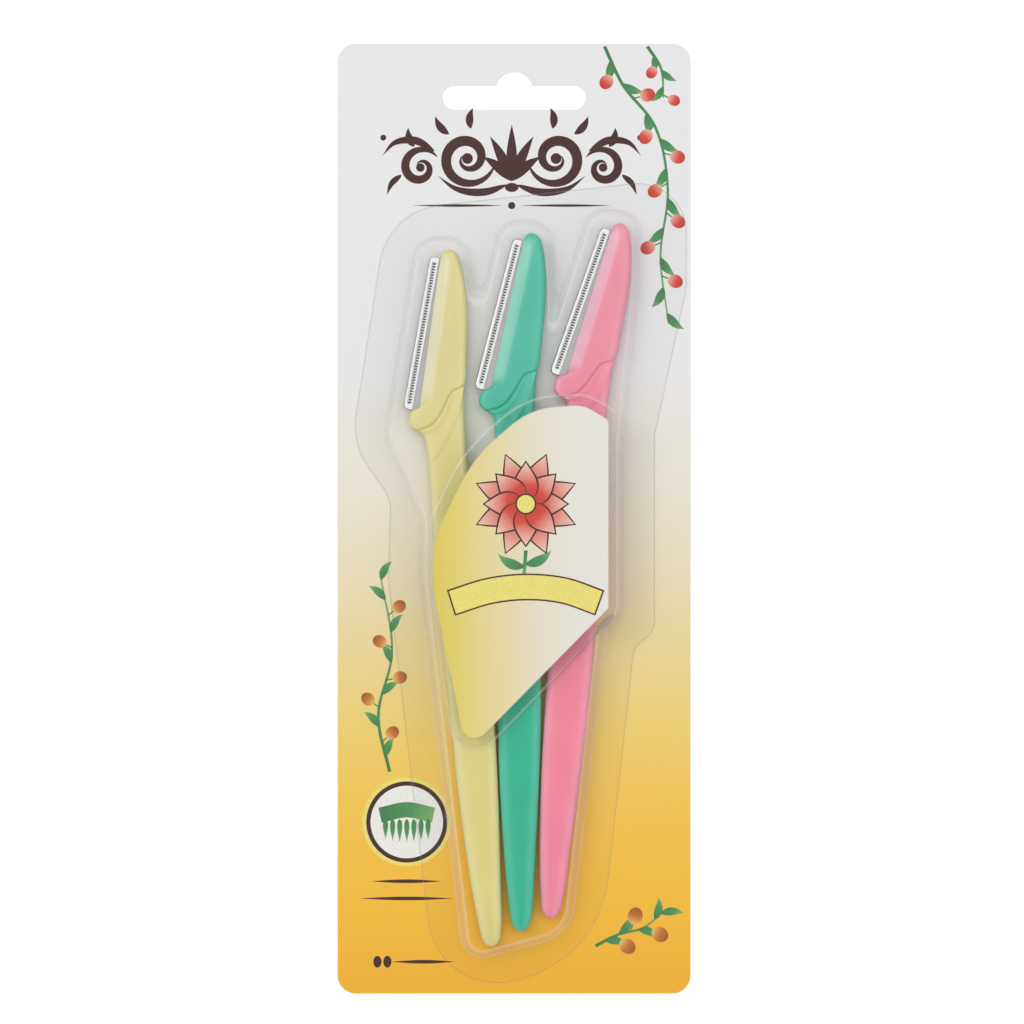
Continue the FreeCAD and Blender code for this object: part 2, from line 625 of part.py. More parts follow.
def blister():
    """Thermoformed shell: pocket blocks with an even wall, on a flat sealing flange."""
    film = size("film_thickness")
    outside = pocket(lambda slope: 0.0, 0.0)
    inside = pocket(lambda slope: film * math.tan(slope / 2), film)
    flange = prism(flange_corners(), card_front, card_front + film)
    return feature("blister", flange.fuse(outside).cut(inside).removeSplitter())


# Assembly: three razors from the same three mouldings

def build():
    """Make every piece and return it under its node name."""
    pieces = {"backing_card": backing_card(), "blister": blister(), "front_label": front_label()}
    masters = {"handle": handle_moulding(), "blade": blade_strip(), "safety_cover": safety_cover()}
    for colour in RAZORS:
        for part_name, master in masters.items():
            node = f"{colour}_{part_name}"
            copy = doc.addObject("Part::Compound", node)
            copy.Links = [master]
            copy.Placement = razor_place(colour)
            pieces[node] = copy
    doc.recompute()
    for node, item in pieces.items():
        item.Label = node
    return pieces


def check(pieces):
    """Stop if any object failed or any piece is not a valid solid."""
    for item in doc.Objects:
        if "Invalid" in item.State or "Error" in item.State:
            raise RuntimeError(f"{item.Name} did not build: {item.State}")
    for node, item in pieces.items():
        shape = item.Shape
        if shape.isNull() or not shape.isValid() or not shape.Solids:
            raise RuntimeError(f"{node} is not a valid solid")
        box = shape.BoundBox
        print(f"{node}: {len(shape.Solids)} solid, {shape.Volume:.1f} mm3, "
              f"{box.XLength:.1f} x {box.YLength:.1f} x {box.ZLength:.1f} mm")


def main():
    pieces = build()
    check(pieces)
    os.makedirs("parts", exist_ok=True)
    for node, item in pieces.items():
        item.Shape.exportStep(f"parts/{node}.step")


main()
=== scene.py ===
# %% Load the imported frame
import math

import bpy
import numpy as np
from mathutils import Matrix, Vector
from mathutils.geometry import tessellate_polygon


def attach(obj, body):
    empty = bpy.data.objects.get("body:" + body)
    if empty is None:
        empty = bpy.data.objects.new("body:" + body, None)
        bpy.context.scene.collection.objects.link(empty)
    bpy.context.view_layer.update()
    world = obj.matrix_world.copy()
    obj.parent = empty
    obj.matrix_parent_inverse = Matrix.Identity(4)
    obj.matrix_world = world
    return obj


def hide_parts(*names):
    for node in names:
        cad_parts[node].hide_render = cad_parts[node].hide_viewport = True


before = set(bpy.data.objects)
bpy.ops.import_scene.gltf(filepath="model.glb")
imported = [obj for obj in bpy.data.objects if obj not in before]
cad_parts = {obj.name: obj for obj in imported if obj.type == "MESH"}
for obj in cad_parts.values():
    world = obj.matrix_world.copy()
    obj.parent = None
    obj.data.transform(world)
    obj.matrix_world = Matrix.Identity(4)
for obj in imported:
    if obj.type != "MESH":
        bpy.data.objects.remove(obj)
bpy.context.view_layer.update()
scene = bpy.context.scene
scene.view_settings.view_transform = "Standard"

# %% [markdown]
# A hang card holds three slim eyebrow razors under a clear blister, and a printed label lies in a raised
# panel of the blister. Every piece here is worked out in millimetres as whole numpy arrays and put into a
# mesh in metres. The small helpers of this step turn such arrays into objects, so that each later step can
# be about its own shape alone.

# %% Helpers that turn arrays into pieces
MM = 0.001


def grid_quads(rows, columns, closed=False):
    """Quads of a grid whose points run row by row; a closed grid joins its last column to its first."""
    index = np.arange(rows * columns).reshape(rows, columns)
    if closed:
        index = np.concatenate([index, index[:, :1]], axis=1)
    return np.stack([index[:-1, :-1], index[:-1, 1:], index[1:, 1:], index[1:, :-1]], axis=-1).reshape(-1, 4)


def add_piece(name, points, faces, body, replaced=(), smooth_angle=40.0):
    """Make a mesh object from points in millimetres and let it ride on a body of the frame."""
    mesh = bpy.data.meshes.new(name)
    mesh.from_pydata((np.asarray(points, float) * MM).tolist(), [], faces)
    mesh.update()
    mesh.polygons.foreach_set("use_smooth", np.ones(len(mesh.polygons), bool))
    mesh.set_sharp_from_angle(angle=math.radians(smooth_angle))
    piece = bpy.data.objects.new(name, mesh)
    scene.collection.objects.link(piece)
    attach(piece, body)
    if replaced:
        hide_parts(*replaced)
    return piece


def add_attribute(piece, name, values):
    """Store one number for each vertex, which a material can read by its name."""
    layer = piece.data.attributes.new(name, "FLOAT", "POINT")
    layer.data.foreach_set("value", np.asarray(values, np.float32).ravel())


def smooth_curve(x, stations, values):
    """Cubic through the stations: each span is a Hermite curve, with end slopes taken from its neighbours."""
    stations = np.asarray(stations, float)
    values = np.asarray(values, float)
    slopes = np.gradient(values, stations)
    span = np.clip(np.searchsorted(stations, x) - 1, 0, len(stations) - 2)
    width = stations[span + 1] - stations[span]
    t = np.clip((x - stations[span]) / width, 0.0, 1.0)
    start = (1 + 2 * t) * (1 - t) ** 2 * values[span] + t * (1 - t) ** 2 * width * slopes[span]
    end = t ** 2 * (3 - 2 * t) * values[span + 1] + t ** 2 * (t - 1) * width * slopes[span + 1]
    return start + end


def ease(t):
    """Smooth step: 0 below 0, 1 above 1, and 3tt - 2ttt between."""
    t = np.clip(t, 0.0, 1.0)
    return t * t * (3 - 2 * t)


# %% Helpers for materials
def srgb(red, green, blue):
    """Colour as a screen shows it, from 0 to 255, turned into the linear value that a shader takes."""
    value = np.array([red, green, blue]) / 255.0
    linear = np.where(value <= 0.04045, value / 12.92, ((value + 0.055) / 1.055) ** 2.4)
    return (*linear.tolist(), 1.0)


def new_finish(name, **settings):
    """A material with one Principled shader, whose sockets take the given settings."""
    finish = bpy.data.materials.new(name)
    finish.use_nodes = True
    tree = finish.node_tree
    shader = tree.nodes["Principled BSDF"]
    for socket, value in settings.items():
        shader.inputs[socket.replace("_", " ")].default_value = value
    return finish, tree, shader


def add_node(tree, kind, inputs=None, **properties):
    """A node of a kind, with its properties set and its sockets filled by a value or by another socket."""
    node = tree.nodes.new(kind)
    for key, value in properties.items():
        setattr(node, key, value)
    for key, value in (inputs or {}).items():
        if isinstance(value, bpy.types.NodeSocket):
            tree.links.new(value, node.inputs[key])
        else:
            node.inputs[key].default_value = value
    return node


def colour_ramp(tree, factor, stops):
    """A colour ramp whose stops are pairs of a place from 0 to 1 and a colour."""
    ramp = add_node(tree, "ShaderNodeValToRGB", {"Fac": factor})
    elements = ramp.color_ramp.elements
    elements[0].position, elements[0].color = stops[0]
    elements[1].position, elements[1].color = stops[-1]
    for place, colour in stops[1:-1]:
        element = elements.new(place)
        element.color = colour
    return ramp.outputs["Color"]


def map_range(tree, value, low, high, to_low=0.0, to_high=1.0):
    """The value carried from one range to another, and held at the ends."""
    node = add_node(tree, "ShaderNodeMapRange", {"Value": value, "From Min": low, "From Max": high,
                                                 "To Min": to_low, "To Max": to_high})
    return node.outputs["Result"]


def mix_colour(tree, factor, first, second, blend="MIX"):
    """Two colours mixed by a factor."""
    node = add_node(tree, "ShaderNodeMix", data_type="RGBA", blend_type=blend)
    for socket, value in zip((node.inputs[0], node.inputs[6], node.inputs[7]), (factor, first, second)):
        if isinstance(value, bpy.types.NodeSocket):
            tree.links.new(value, socket)
        else:
            socket.default_value = value
    return node.outputs[2]


def grain_bump(tree, shader, coordinates, scale, strength, distance):
    """Fine noise that tilts the surface a little, as a moulded or coated surface does."""
    noise = add_node(tree, "ShaderNodeTexNoise", {"Vector": coordinates, "Scale": scale, "Detail": 4.0})
    bump = add_node(tree, "ShaderNodeBump", {"Height": noise.outputs["Fac"], "Strength": strength,
                                             "Distance": distance})
    tree.links.new(bump.outputs["Normal"], shader.inputs["Normal"])
    return noise.outputs["Fac"]


# %% [markdown]
# The photograph looks straight at the front of the pack from some way off. The pack lies on its back with
# its long side along Y, so the camera hangs above it and looks down. A long lens at 1.2 metres gives the
# little perspective that the raised film shows.

# %% Camera
VIEW_WIDTH = 226.5
VIEW_MIDDLE = (-0.44, 1.44)
CAMERA_HEIGHT = 1200.0
SENSOR_WIDTH = 36.0
camera = bpy.data.objects.new("camera", bpy.data.cameras.new("camera"))
camera.data.sensor_width = SENSOR_WIDTH
camera.data.lens = SENSOR_WIDTH * CAMERA_HEIGHT / VIEW_WIDTH
camera.data.clip_start = 0.01
camera.location = (VIEW_MIDDLE[0] * MM, VIEW_MIDDLE[1] * MM, CAMERA_HEIGHT * MM)
scene.collection.objects.link(camera)
scene.camera = camera
print("lens of", round(camera.data.lens, 1), "mm")

# %% [markdown]
# The light is that of a plain studio: a pale room all round, a wide soft lamp overhead, and a weaker one at
# each side, of which the left one is stronger. The floor is a wide pale sheet that looks white to the camera,
# to mirrors and through clear film, and still takes the soft shadow of the pack.

# %% Light and floor
ROOM_STRENGTH = 0.42
FLOOR_REACH = 3000.0
FLOOR_DROP = 0.05
FLOOR_STEPS = 5
FLOOR_GREY = 0.80
FLOOR_GLOW = 0.36
LAMPS = {"top_lamp": ((-0.20, 0.30, 1.70), 2.00, 17.3),
         "key_lamp": ((-1.20, 0.60, 1.20), 0.60, 4.2),
         "fill_lamp": ((1.00, -0.20, 1.00), 0.80, 2.0)}
world = bpy.data.worlds.new("studio_room")
world.use_nodes = True
world.node_tree.nodes["Background"].inputs["Color"].default_value = (1.0, 1.0, 1.0, 1.0)
world.node_tree.nodes["Background"].inputs["Strength"].default_value = ROOM_STRENGTH
scene.world = world


def add_lamp(name, place, size, power):
    """A square soft lamp at a place in metres, turned to face the middle of the pack."""
    lamp = bpy.data.objects.new(name, bpy.data.lights.new(name, "AREA"))
    lamp.data.size = size
    lamp.data.energy = power
    lamp.location = place
    lamp.rotation_euler = (-Vector(place)).to_track_quat("-Z", "Y").to_euler()
    scene.collection.objects.link(lamp)


for name, (place, size, power) in LAMPS.items():
    add_lamp(name, place, size, power)

floor_grid = np.linspace(-FLOOR_REACH, FLOOR_REACH, FLOOR_STEPS)
floor_x, floor_y = np.meshgrid(floor_grid, floor_grid)
floor_points = np.stack([floor_x, floor_y, np.full_like(floor_x, -FLOOR_DROP)], axis=-1).reshape(-1, 3)
floor_mesh = bpy.data.meshes.new("floor")
floor_mesh.from_pydata((floor_points * MM).tolist(), [], grid_quads(FLOOR_STEPS, FLOOR_STEPS).tolist())
floor = bpy.data.objects.new("floor", floor_mesh)
scene.collection.objects.link(floor)

floor_finish, tree, shader = new_finish("floor_sheet", Roughness=0.9)
shader.inputs["Base Color"].default_value = (FLOOR_GREY, FLOOR_GREY, FLOOR_GREY, 1.0)
rays = add_node(tree, "ShaderNodeLightPath")
seen = add_node(tree, "ShaderNodeMath", {0: rays.outputs["Is Camera Ray"], 1: rays.outputs["Is Glossy Ray"]},
                operation="MAXIMUM")
seen = add_node(tree, "ShaderNodeMath", {0: seen.outputs[0], 1: rays.outputs["Is Transmission Ray"]},
                operation="MAXIMUM")
glow = add_node(tree, "ShaderNodeMath", {0: seen.outputs[0], 1: FLOOR_GLOW}, operation="MULTIPLY")
shader.inputs["Emission Color"].default_value = (1.0, 1.0, 1.0, 1.0)
tree.links.new(glow.outputs[0], shader.inputs["Emission Strength"])
floor_mesh.materials.append(floor_finish)
print(len(LAMPS), "lamps and a floor stand ready")

# %% [markdown]
# Each razor lies in its own place: the tip of its head and a small turn. A point of a razor is given in the
# razor's own frame, with the tip at the origin, the handle running down along minus Y and the middle of its
# thickness at height zero. The same three places are used for the handle, the painted shade sleeve and the
# foil.

# %% Places of the razors
RAZOR_TIP = {"yellow": (-14.617, 59.288), "green": (3.800, 62.985), "pink": (23.346, 65.139)}
RAZOR_TURN = {"yellow": 3.65, "green": -0.81, "pink": -5.70}
RAZOR_MIDDLE = 3.35


def to_pack(colour, x, y, z):
    """Turn points of a razor about its tip, move them to the tip's place and lift them to mid height."""
    turn = math.radians(RAZOR_TURN[colour])
    tip_x, tip_y = RAZOR_TIP[colour]
    return np.stack([tip_x + x * math.cos(turn) - y * math.sin(turn),
                     tip_y + x * math.sin(turn) + y * math.cos(turn),
                     RAZOR_MIDDLE + z], axis=-1)


# %% [markdown]
# The handle is one moulding: a thin head with a sloped strip along the blade, a small ear under the blade,
# a leaf-shaped lip where the head runs into the neck, and a grip that swells and tapers. It is a grid of
# cross-sections along the length. Each section is a flat front with rounded edges, mirrored to the back, and
# the sloped strip, the lip and the rib are added to its height as formulas of place.

# %% Outline of the handle
HANDLE_LENGTH = 154.0
HEAD_HALF = 2.1
LEDGE_SIDE = 1.6
LEDGE_DROP = 1.3
LEDGE_SLOPE = math.tan(math.radians(11.6))
LEDGE_HALF = 0.75
STRIP_WIDTH = 2.0
EDGE_ROUND = 1.3
HEAD_TILT = 0.40
FALL_REACH = 6.0
SPINE = [(0.0, 0.10), (0.25, 0.90), (0.62, 1.45), (1.37, 2.0), (3.0, 2.56), (7.0, 3.26), (11.0, 3.5),
         (16.0, 3.38), (22.0, 2.9), (26.0, 2.52), (28.4, 2.32), (29.3, 2.12), (30.2, 1.84), (34.0, 1.50),
         (39.5, 1.28), (46.0, 1.33), (60.0, 1.96), (78.0, 2.89), (97.0, 3.62), (108.0, 3.68), (119.0, 3.52),
         (132.0, 3.09), (141.0, 2.74), (150.0, 2.28), (152.2, 1.88), (153.4, 1.18), (153.85, 0.60),
         (154.0, 0.05)]
BLADE_SIDE = [(0.0, -0.05), (0.25, -0.75), (0.62, -1.2), (1.37, -1.56), (3.0, -1.95), (6.0, -2.56),
              (10.0, -3.39), (15.0, -4.41), (20.0, -5.44), (25.0, -6.47), (30.0, -7.49), (33.0, -8.11),
              (34.0, -8.36), (34.4, -8.75), (34.8, -9.85), (35.3, -10.45), (36.2, -10.80), (37.4, -10.95),
              (38.4, -10.70), (39.1, -10.05), (39.6, -9.1), (40.1, -8.35), (41.0, -7.80), (43.0, -7.52),
              (46.0, -7.31), (60.0, -7.16), (78.0, -6.86), (97.0, -6.28), (108.0, -5.83), (119.0, -5.40),
              (132.0, -4.50), (141.0, -3.72), (150.0, -2.53), (152.2, -2.13), (153.4, -1.38), (153.85, -0.72),
              (154.0, -0.08)]
HALF_THICKNESS = [(0.0, 0.55), (0.62, 1.10), (1.37, 1.42), (3.0, 1.66), (7.0, 1.95), (11.0, 2.1), (34.0, 2.1),
                  (40.0, 2.16), (46.0, 2.27), (60.0, 2.43), (78.0, 2.62), (97.0, 2.7), (108.0, 2.7),
                  (119.0, 2.62), (132.0, 2.40), (141.0, 2.16), (150.0, 1.78), (152.2, 1.40), (153.4, 0.97),
                  (154.0, 0.45)]
LEAF_UPPER = [(-12.4, 39.2), (-8.2, 38.85), (-6.0, 38.0), (-4.6, 36.6), (-3.4, 34.8), (-2.2, 32.6),
              (-1.2, 31.2), (0.3, 30.5), (2.6, 29.7)]
LEAF_LOWER = [(-12.4, 53.0), (-7.8, 48.1), (-6.6, 46.3), (-4.6, 44.0), (-2.4, 40.6), (-1.2, 38.4),
              (-0.1, 36.0), (0.8, 33.2), (1.6, 30.6), (2.6, 29.0)]
LEAF_STEP = 0.52
LEAF_RIDGE = 0.18
LEAF_RISE = 0.44
LEAF_RIB = 0.20
LEAF_SETTLE = 0.10


def table_curve(x, table):
    """Smooth curve through a table of pairs."""
    return smooth_curve(x, *np.array(table).T)


def distance_below(x, depth, table):
    """Distance below a curve: the gap in depth times the cosine of the curve's slope."""
    slope = (table_curve(x + 0.05, table) - table_curve(x - 0.05, table)) / 0.1
    return (depth - table_curve(x, table)) / np.sqrt(1 + slope ** 2)


def leaf_relief(x, depth):
    """Lip, valley and rib of the leaf.

    Below the upper curve the face steps down and has a narrow ridge, it rises again towards the lower
    curve, where a narrow rib stands up, and below that it eases into the grip. Ridge and rib are bell curves
    of the distance from their curve.
    """
    above = distance_below(x, depth, LEAF_UPPER)
    below = distance_below(x, depth, LEAF_LOWER)
    between = np.clip(above / np.maximum(above - below, 0.05), 0.0, 1.0)
    step = -LEAF_STEP * ease((above + 0.10) / 0.60)
    ridge = LEAF_RIDGE * np.exp(-((above - 1.05) / 0.45) ** 2)
    rise = LEAF_RISE * between ** 3
    rib = LEAF_RIB * np.exp(-(below / 0.40) ** 2) * ease((above - 0.3) / 1.2)
    settle = LEAF_SETTLE * ease(below / 6.0)
    return step + ridge + rise + rib + settle


def soft_min(a, b, width):
    """Smaller of two heights, with the edge between them rounded over a width."""
    blend = np.clip(0.5 + 0.5 * (b - a) / width, 0.0, 1.0)
    return b + (a - b) * blend - width * blend * (1 - blend)


def handle_sections(depths, steps):
    """Sections of the handle, as places x across, depths y along and heights z of the front.

    Across the section the share u runs from 0 to 1 with its steps crowded to the edges. The height is the
    half thickness less the edge radius plus a quarter circle at each edge. On the head, the sloped strip
    rises from the ledge and runs out at both ends of the head, and the face falls off a little towards the
    spine. The last array returned is the share of painted highlight on the sloped strip beside the blade.
    """
    share = (1 - np.cos(np.linspace(0, np.pi, steps))) / 2
    share = 0.5 * share + 0.5 * np.linspace(0, 1, steps)
    left = table_curve(depths, BLADE_SIDE)[:, None]
    right = table_curve(depths, SPINE)[:, None]
    half = table_curve(depths, HALF_THICKNESS)[:, None]
    width = right - left
    x = left + width * share
    depth = depths[:, None] + np.zeros_like(x)
    radius = np.minimum(EDGE_ROUND, np.minimum(0.85 * half, 0.48 * width))
    inset = np.minimum(x - left, right - x)
    arc = np.sqrt(np.maximum(radius ** 2 - np.maximum(radius - inset, 0.0) ** 2, 0.0))
    z = half - radius + arc
    on_head = ease((depth - 0.8) / 2.0) * (1 - ease((depth - 31.0) / 3.0))
    ledge = -LEDGE_SIDE - LEDGE_SLOPE * (depth - LEDGE_DROP)
    strip = LEDGE_HALF + (x - ledge) * (HEAD_HALF - LEDGE_HALF) / STRIP_WIDTH
    strip = strip + 1.1 * np.maximum(depth - 33.0, 0.0) ** 2 + 3.0 * ease((1.6 - depth) / 1.4)
    fall = HEAD_TILT * on_head * np.clip((x - ledge - STRIP_WIDTH) / FALL_REACH, 0.0, 1.0)
    near_head = ease((37.0 - depth) / 1.5)
    # Painted highlight: the share of the sloped strip that is coloured paler, as if lit from the left.
    strip_highlight = (1 - ease((x - ledge - 1.3) / 1.9)) * on_head
    z = np.where(near_head > 0, soft_min(z - fall, strip + 6.0 * (1 - near_head), 0.10), z)
    near_leaf = ease((depth - 28.5) / 1.5) * (1 - ease((depth - 56.0) / 6.0))
    z = z + near_leaf * leaf_relief(x, depth)
    return x, -depth, np.maximum(z, 0.2), inset, strip_highlight


# %% The three handles
SECTION_STEPS = 61
DEPTHS = np.concatenate([np.array([0.03, 0.10, 0.22, 0.40, 0.62, 0.95, 1.37, 2.0, 3.0]),
                         np.linspace(4.2, 28.0, 30), np.linspace(28.3, 48.0, 130),
                         np.linspace(48.6, 58.0, 20), np.linspace(60.0, 146.0, 44),
                         np.array([148.0, 149.6, 150.8, 151.7, 152.4, 152.9, 153.3, 153.6, 153.8, 153.92,
                                   153.98])])
# Reach of the painted sheen along the rounded edges of the handle.
SHEEN_REACH = 1.6


def make_handle(colour):
    """Front sections and the same sections mirrored to the back, joined as a closed tube with flat ends."""
    x, y, z, inset, strip_highlight = handle_sections(DEPTHS, SECTION_STEPS)
    x = np.concatenate([x, x[:, ::-1]], axis=1)
    y = np.concatenate([y, y[:, ::-1]], axis=1)
    z = np.concatenate([z, -z[:, ::-1]], axis=1)
    rows, columns = x.shape
    points = to_pack(colour, x, y, z).reshape(-1, 3)
    faces = grid_quads(rows, columns, closed=True).tolist()
    faces.append(list(range(columns))[::-1])
    faces.append(list(range((rows - 1) * columns, rows * columns)))
    faces = [face[::-1] for face in faces]
    handle = add_piece(f"{colour}_moulded_handle", points, faces, f"{colour}_razor",
                       (f"{colour}_handle",))
    # Painted sheen: a paler tone near the rounded edges; the strip share below carries a painted highlight.
    inset = np.concatenate([inset, inset[:, ::-1]], axis=1)
    add_attribute(handle, "painted_edge_sheen", np.exp(-(inset / SHEEN_REACH) ** 2))
    add_attribute(handle, "strip", np.concatenate([strip_highlight, strip_highlight[:, ::-1]], axis=1))
    add_attribute(handle, "depth", -y / HANDLE_LENGTH)
    return handle


handles = {colour: make_handle(colour) for colour in RAZOR_TIP}
print("handles of", len(DEPTHS), "sections with", 2 * SECTION_STEPS, "points each")

# %% [markdown]
# The plastic is a satin moulding that lets a little light in. Its colour carries painted sheen, a paler tone
# along the rounded edges, and a painted highlight on the sloped strip beside the blade. The colour follows
# three attributes of the mesh: how near the edge a point is, how far down the handle, and the strip.

# %% Plastic of the handles
# Screen colours of the body, the rim's painted edge sheen, the head and the strip's painted highlight.
PLASTIC = {"yellow": ((225, 215, 129), (235, 228, 166), (224, 215, 146), (238, 233, 194)),
           "green": ((10, 184, 145), (96, 206, 178), (78, 192, 166), (150, 222, 202)),
           "pink": ((248, 132, 157), (253, 168, 190), (244, 147, 166), (250, 188, 206))}


def plastic_finish(colour):
    """Body colour with painted sheen on the rim, a paler head and a painted highlight on the strip, under a
    fine moulded grain.
    """
    body, rim, head, strip_highlight_tint = [srgb(*value) for value in PLASTIC[colour]]
    finish, tree, shader = new_finish(f"{colour}_satin_plastic", Roughness=0.40, Subsurface_Weight=0.12,
                                      Subsurface_Scale=0.0015, Specular_IOR_Level=0.45)
    place = add_node(tree, "ShaderNodeTexCoord").outputs["Object"]
    grain = grain_bump(tree, shader, place, 900.0, 0.06, 0.0004)
    depth = add_node(tree, "ShaderNodeAttribute", attribute_name="depth").outputs["Fac"]
    edge = add_node(tree, "ShaderNodeAttribute", attribute_name="painted_edge_sheen").outputs["Fac"]
    along = colour_ramp(tree, depth, [(0.0, head), (0.20, head), (0.34, body), (1.0, body)])
    # Painted sheen: the paler rim tone near the edges.
    tone = mix_colour(tree, map_range(tree, edge, 0.0, 1.0, 0.0, 0.88), along, rim)
    strip = add_node(tree, "ShaderNodeAttribute", attribute_name="strip").outputs["Fac"]
    # Painted highlight on the sloped strip beside the blade.
    tone = mix_colour(tree, strip, tone, strip_highlight_tint)
    cloud = add_node(tree, "ShaderNodeTexNoise", {"Vector": place, "Scale": 120.0, "Detail": 2.0})
    shade = map_range(tree, cloud.outputs["Fac"], 0.3, 0.7, 0.965, 1.02)
    tone = mix_colour(tree, 1.0, tone, shade, "MULTIPLY")
    tree.links.new(tone, shader.inputs["Base Color"])
    tree.links.new(map_range(tree, grain, 0.3, 0.7, 0.36, 0.46), shader.inputs["Roughness"])
    return finish


for colour, handle in handles.items():
    handle.data.materials.append(plastic_finish(colour))
print("plastic finishes:", ", ".join(PLASTIC))

# %% [markdown]
# The blade is a ground steel strip set in the head, and its solid already has the right shape, so it only
# gets a brushed finish. Over the cutting edge lies a folded steel foil with a row of narrow slots. The foil
# is a U-shaped profile carried along the edge, and the slots are quads left out of that grid. Inside the foil
# lies a near-black sleeve, painted shade that shows through the slots.

# %% Foil covers and the painted shade in their slots
FOLD_PLACE = (-3.9, -1.2)
FOLD_TURN = math.radians(13.8)
BLADE_LENGTH = 34.1
FOIL_ARM = 2.0
FOIL_RIM = 0.90
FOIL_HALF = 0.275
FOIL_WALL = 0.11
FOIL_CORNER = 0.9
SLOT_REACH = 0.57
SLOT_WIDTH = 0.30
SLOT_PITCH = 0.62
SLOT_COUNT = 51
# Section of the near-black sleeve of painted shade under the slots.
EDGE_PROFILE = np.array([(0.60, 0.0), (FOIL_RIM, 0.135), (1.55, 0.145), (1.55, -0.145), (FOIL_RIM, -0.135)])
EDGE_END = 0.6
EDGE_STEPS = 24


def to_fold(colour, across, along, z):
    """Points of the foil: across runs from the fold into the head, along runs down the fold line."""
    x = FOLD_PLACE[0] + across * math.cos(FOLD_TURN) - along * math.sin(FOLD_TURN)
    y = FOLD_PLACE[1] - across * math.sin(FOLD_TURN) - along * math.cos(FOLD_TURN)
    return to_pack(colour, x, y, z)


def foil_profile():
    """Half profile from the fold to the arm's end: a quarter turn at the fold, then flat."""
    turn = np.linspace(0.0, np.pi / 2, 5)
    bend_across = FOIL_HALF * (1 - np.cos(turn))
    bend_z = FOIL_HALF * np.sin(turn)
    flat_across = np.array([FOIL_RIM, FOIL_RIM + SLOT_REACH, FOIL_ARM - 0.05, FOIL_ARM])
    return np.concatenate([bend_across, flat_across]), np.concatenate([bend_z, np.full(4, FOIL_HALF)])


def make_foil(colour):
    """Grid of the profile along the fold, with the quads at the slots left out and a wall added inwards.

    At each end the fold is trimmed back by a quarter circle.
    """
    across, z = foil_profile()
    across = np.concatenate([across[::-1], across[1:]])
    z = np.concatenate([z[::-1], -z[1:]])
    first = (BLADE_LENGTH - (SLOT_COUNT - 1) * SLOT_PITCH) / 2
    centres = first + SLOT_PITCH * np.arange(SLOT_COUNT)
    sides = np.stack([centres - SLOT_WIDTH / 2, centres + SLOT_WIDTH / 2], axis=-1).ravel()
    ends = np.array([0.0, 0.2, 0.5, FOIL_CORNER])
    along = np.concatenate([ends, sides, BLADE_LENGTH - ends[::-1]])
    rows, columns = len(along), len(across)
    across_grid, along_grid = np.meshgrid(across, along)
    z_grid = np.broadcast_to(z, across_grid.shape)
    end_gap = np.minimum(along_grid, BLADE_LENGTH - along_grid)
    short = np.maximum(FOIL_CORNER - end_gap, 0.0)
    trim = FOIL_CORNER - np.sqrt(np.maximum(FOIL_CORNER ** 2 - short ** 2, 0.0))
    across_grid = trim + across_grid * (FOIL_ARM - trim) / FOIL_ARM
    quads = grid_quads(rows, columns)
    row = np.repeat(np.arange(rows - 1), columns - 1)
    column = np.tile(np.arange(columns - 1), rows - 1)
    middle = (across[column] + across[column + 1]) / 2
    in_band = (middle > FOIL_RIM) & (middle < FOIL_RIM + SLOT_REACH)
    slot_row = row - len(ends)
    in_slot = (slot_row >= 0) & (slot_row < 2 * SLOT_COUNT - 1) & (slot_row % 2 == 0)
    quads = quads[~(in_band & in_slot)]
    points = to_fold(colour, across_grid, along_grid, z_grid).reshape(-1, 3)
    foil = add_piece(f"{colour}_slotted_foil", points, quads[:, ::-1].tolist(), f"{colour}_razor",
                     (f"{colour}_safety_cover",))
    wall = foil.modifiers.new("wall", "SOLIDIFY")
    wall.thickness = FOIL_WALL * MM
    wall.offset = -1.0
    return foil


def make_shade_sleeve(colour):
    """Painted shade in the slots: a near-black flat pointed sleeve inside the foil, carried along the blade.
    """
    across, z = EDGE_PROFILE.T
    along = np.linspace(EDGE_END, BLADE_LENGTH - EDGE_END, EDGE_STEPS)
    across_grid, along_grid = np.meshgrid(across, along)
    points = to_fold(colour, across_grid, along_grid, np.broadcast_to(z, across_grid.shape)).reshape(-1, 3)
    faces = grid_quads(len(along), len(across), closed=True).tolist()
    faces.append(list(range(len(across)))[::-1])
    faces.append(list(range(len(points) - len(across), len(points))))
    return add_piece(f"{colour}_painted_shade_sleeve", points, [face[::-1] for face in faces], f"{colour}_razor")


foils = {colour: make_foil(colour) for colour in RAZOR_TIP}
shade_sleeves = {colour: make_shade_sleeve(colour) for colour in RAZOR_TIP}
print("foils with", SLOT_COUNT, "slots each")


# %% Steel finishes
# The near-black edge finish is painted shade, on the sleeve under the slots.
STEEL = {"blade": ((0.36, 0.355, 0.35, 1.0), 0.38, 0.22),
         "foil": ((0.58, 0.58, 0.57, 1.0), 0.32, 0.08),
         "edge": ((0.05, 0.05, 0.05, 1.0), 0.45, 0.40)}


def brushed_finish(name, turn, base, roughness, spread):
    """Steel brushed along a direction: noise stretched along the blade shifts both tone and roughness."""
    finish, tree, shader = new_finish(name, Metallic=1.0, Roughness=roughness)
    place = add_node(tree, "ShaderNodeTexCoord").outputs["Object"]
    turned = add_node(tree, "ShaderNodeMapping", {"Vector": place, "Rotation": (0.0, 0.0, -turn),
                                                  "Scale": (5200.0, 120.0, 5200.0)})
    streak = add_node(tree, "ShaderNodeTexNoise", {"Vector": turned.outputs["Vector"], "Scale": 1.0,
                                                   "Detail": 3.0})
    low = tuple(value * (1 - spread) for value in base[:3]) + (1.0,)
    tone = colour_ramp(tree, streak.outputs["Fac"], [(0.30, low), (0.70, base)])
    tree.links.new(tone, shader.inputs["Base Color"])
    tree.links.new(map_range(tree, streak.outputs["Fac"], 0.3, 0.7, roughness - 0.06, roughness + 0.08),
                   shader.inputs["Roughness"])
    return finish


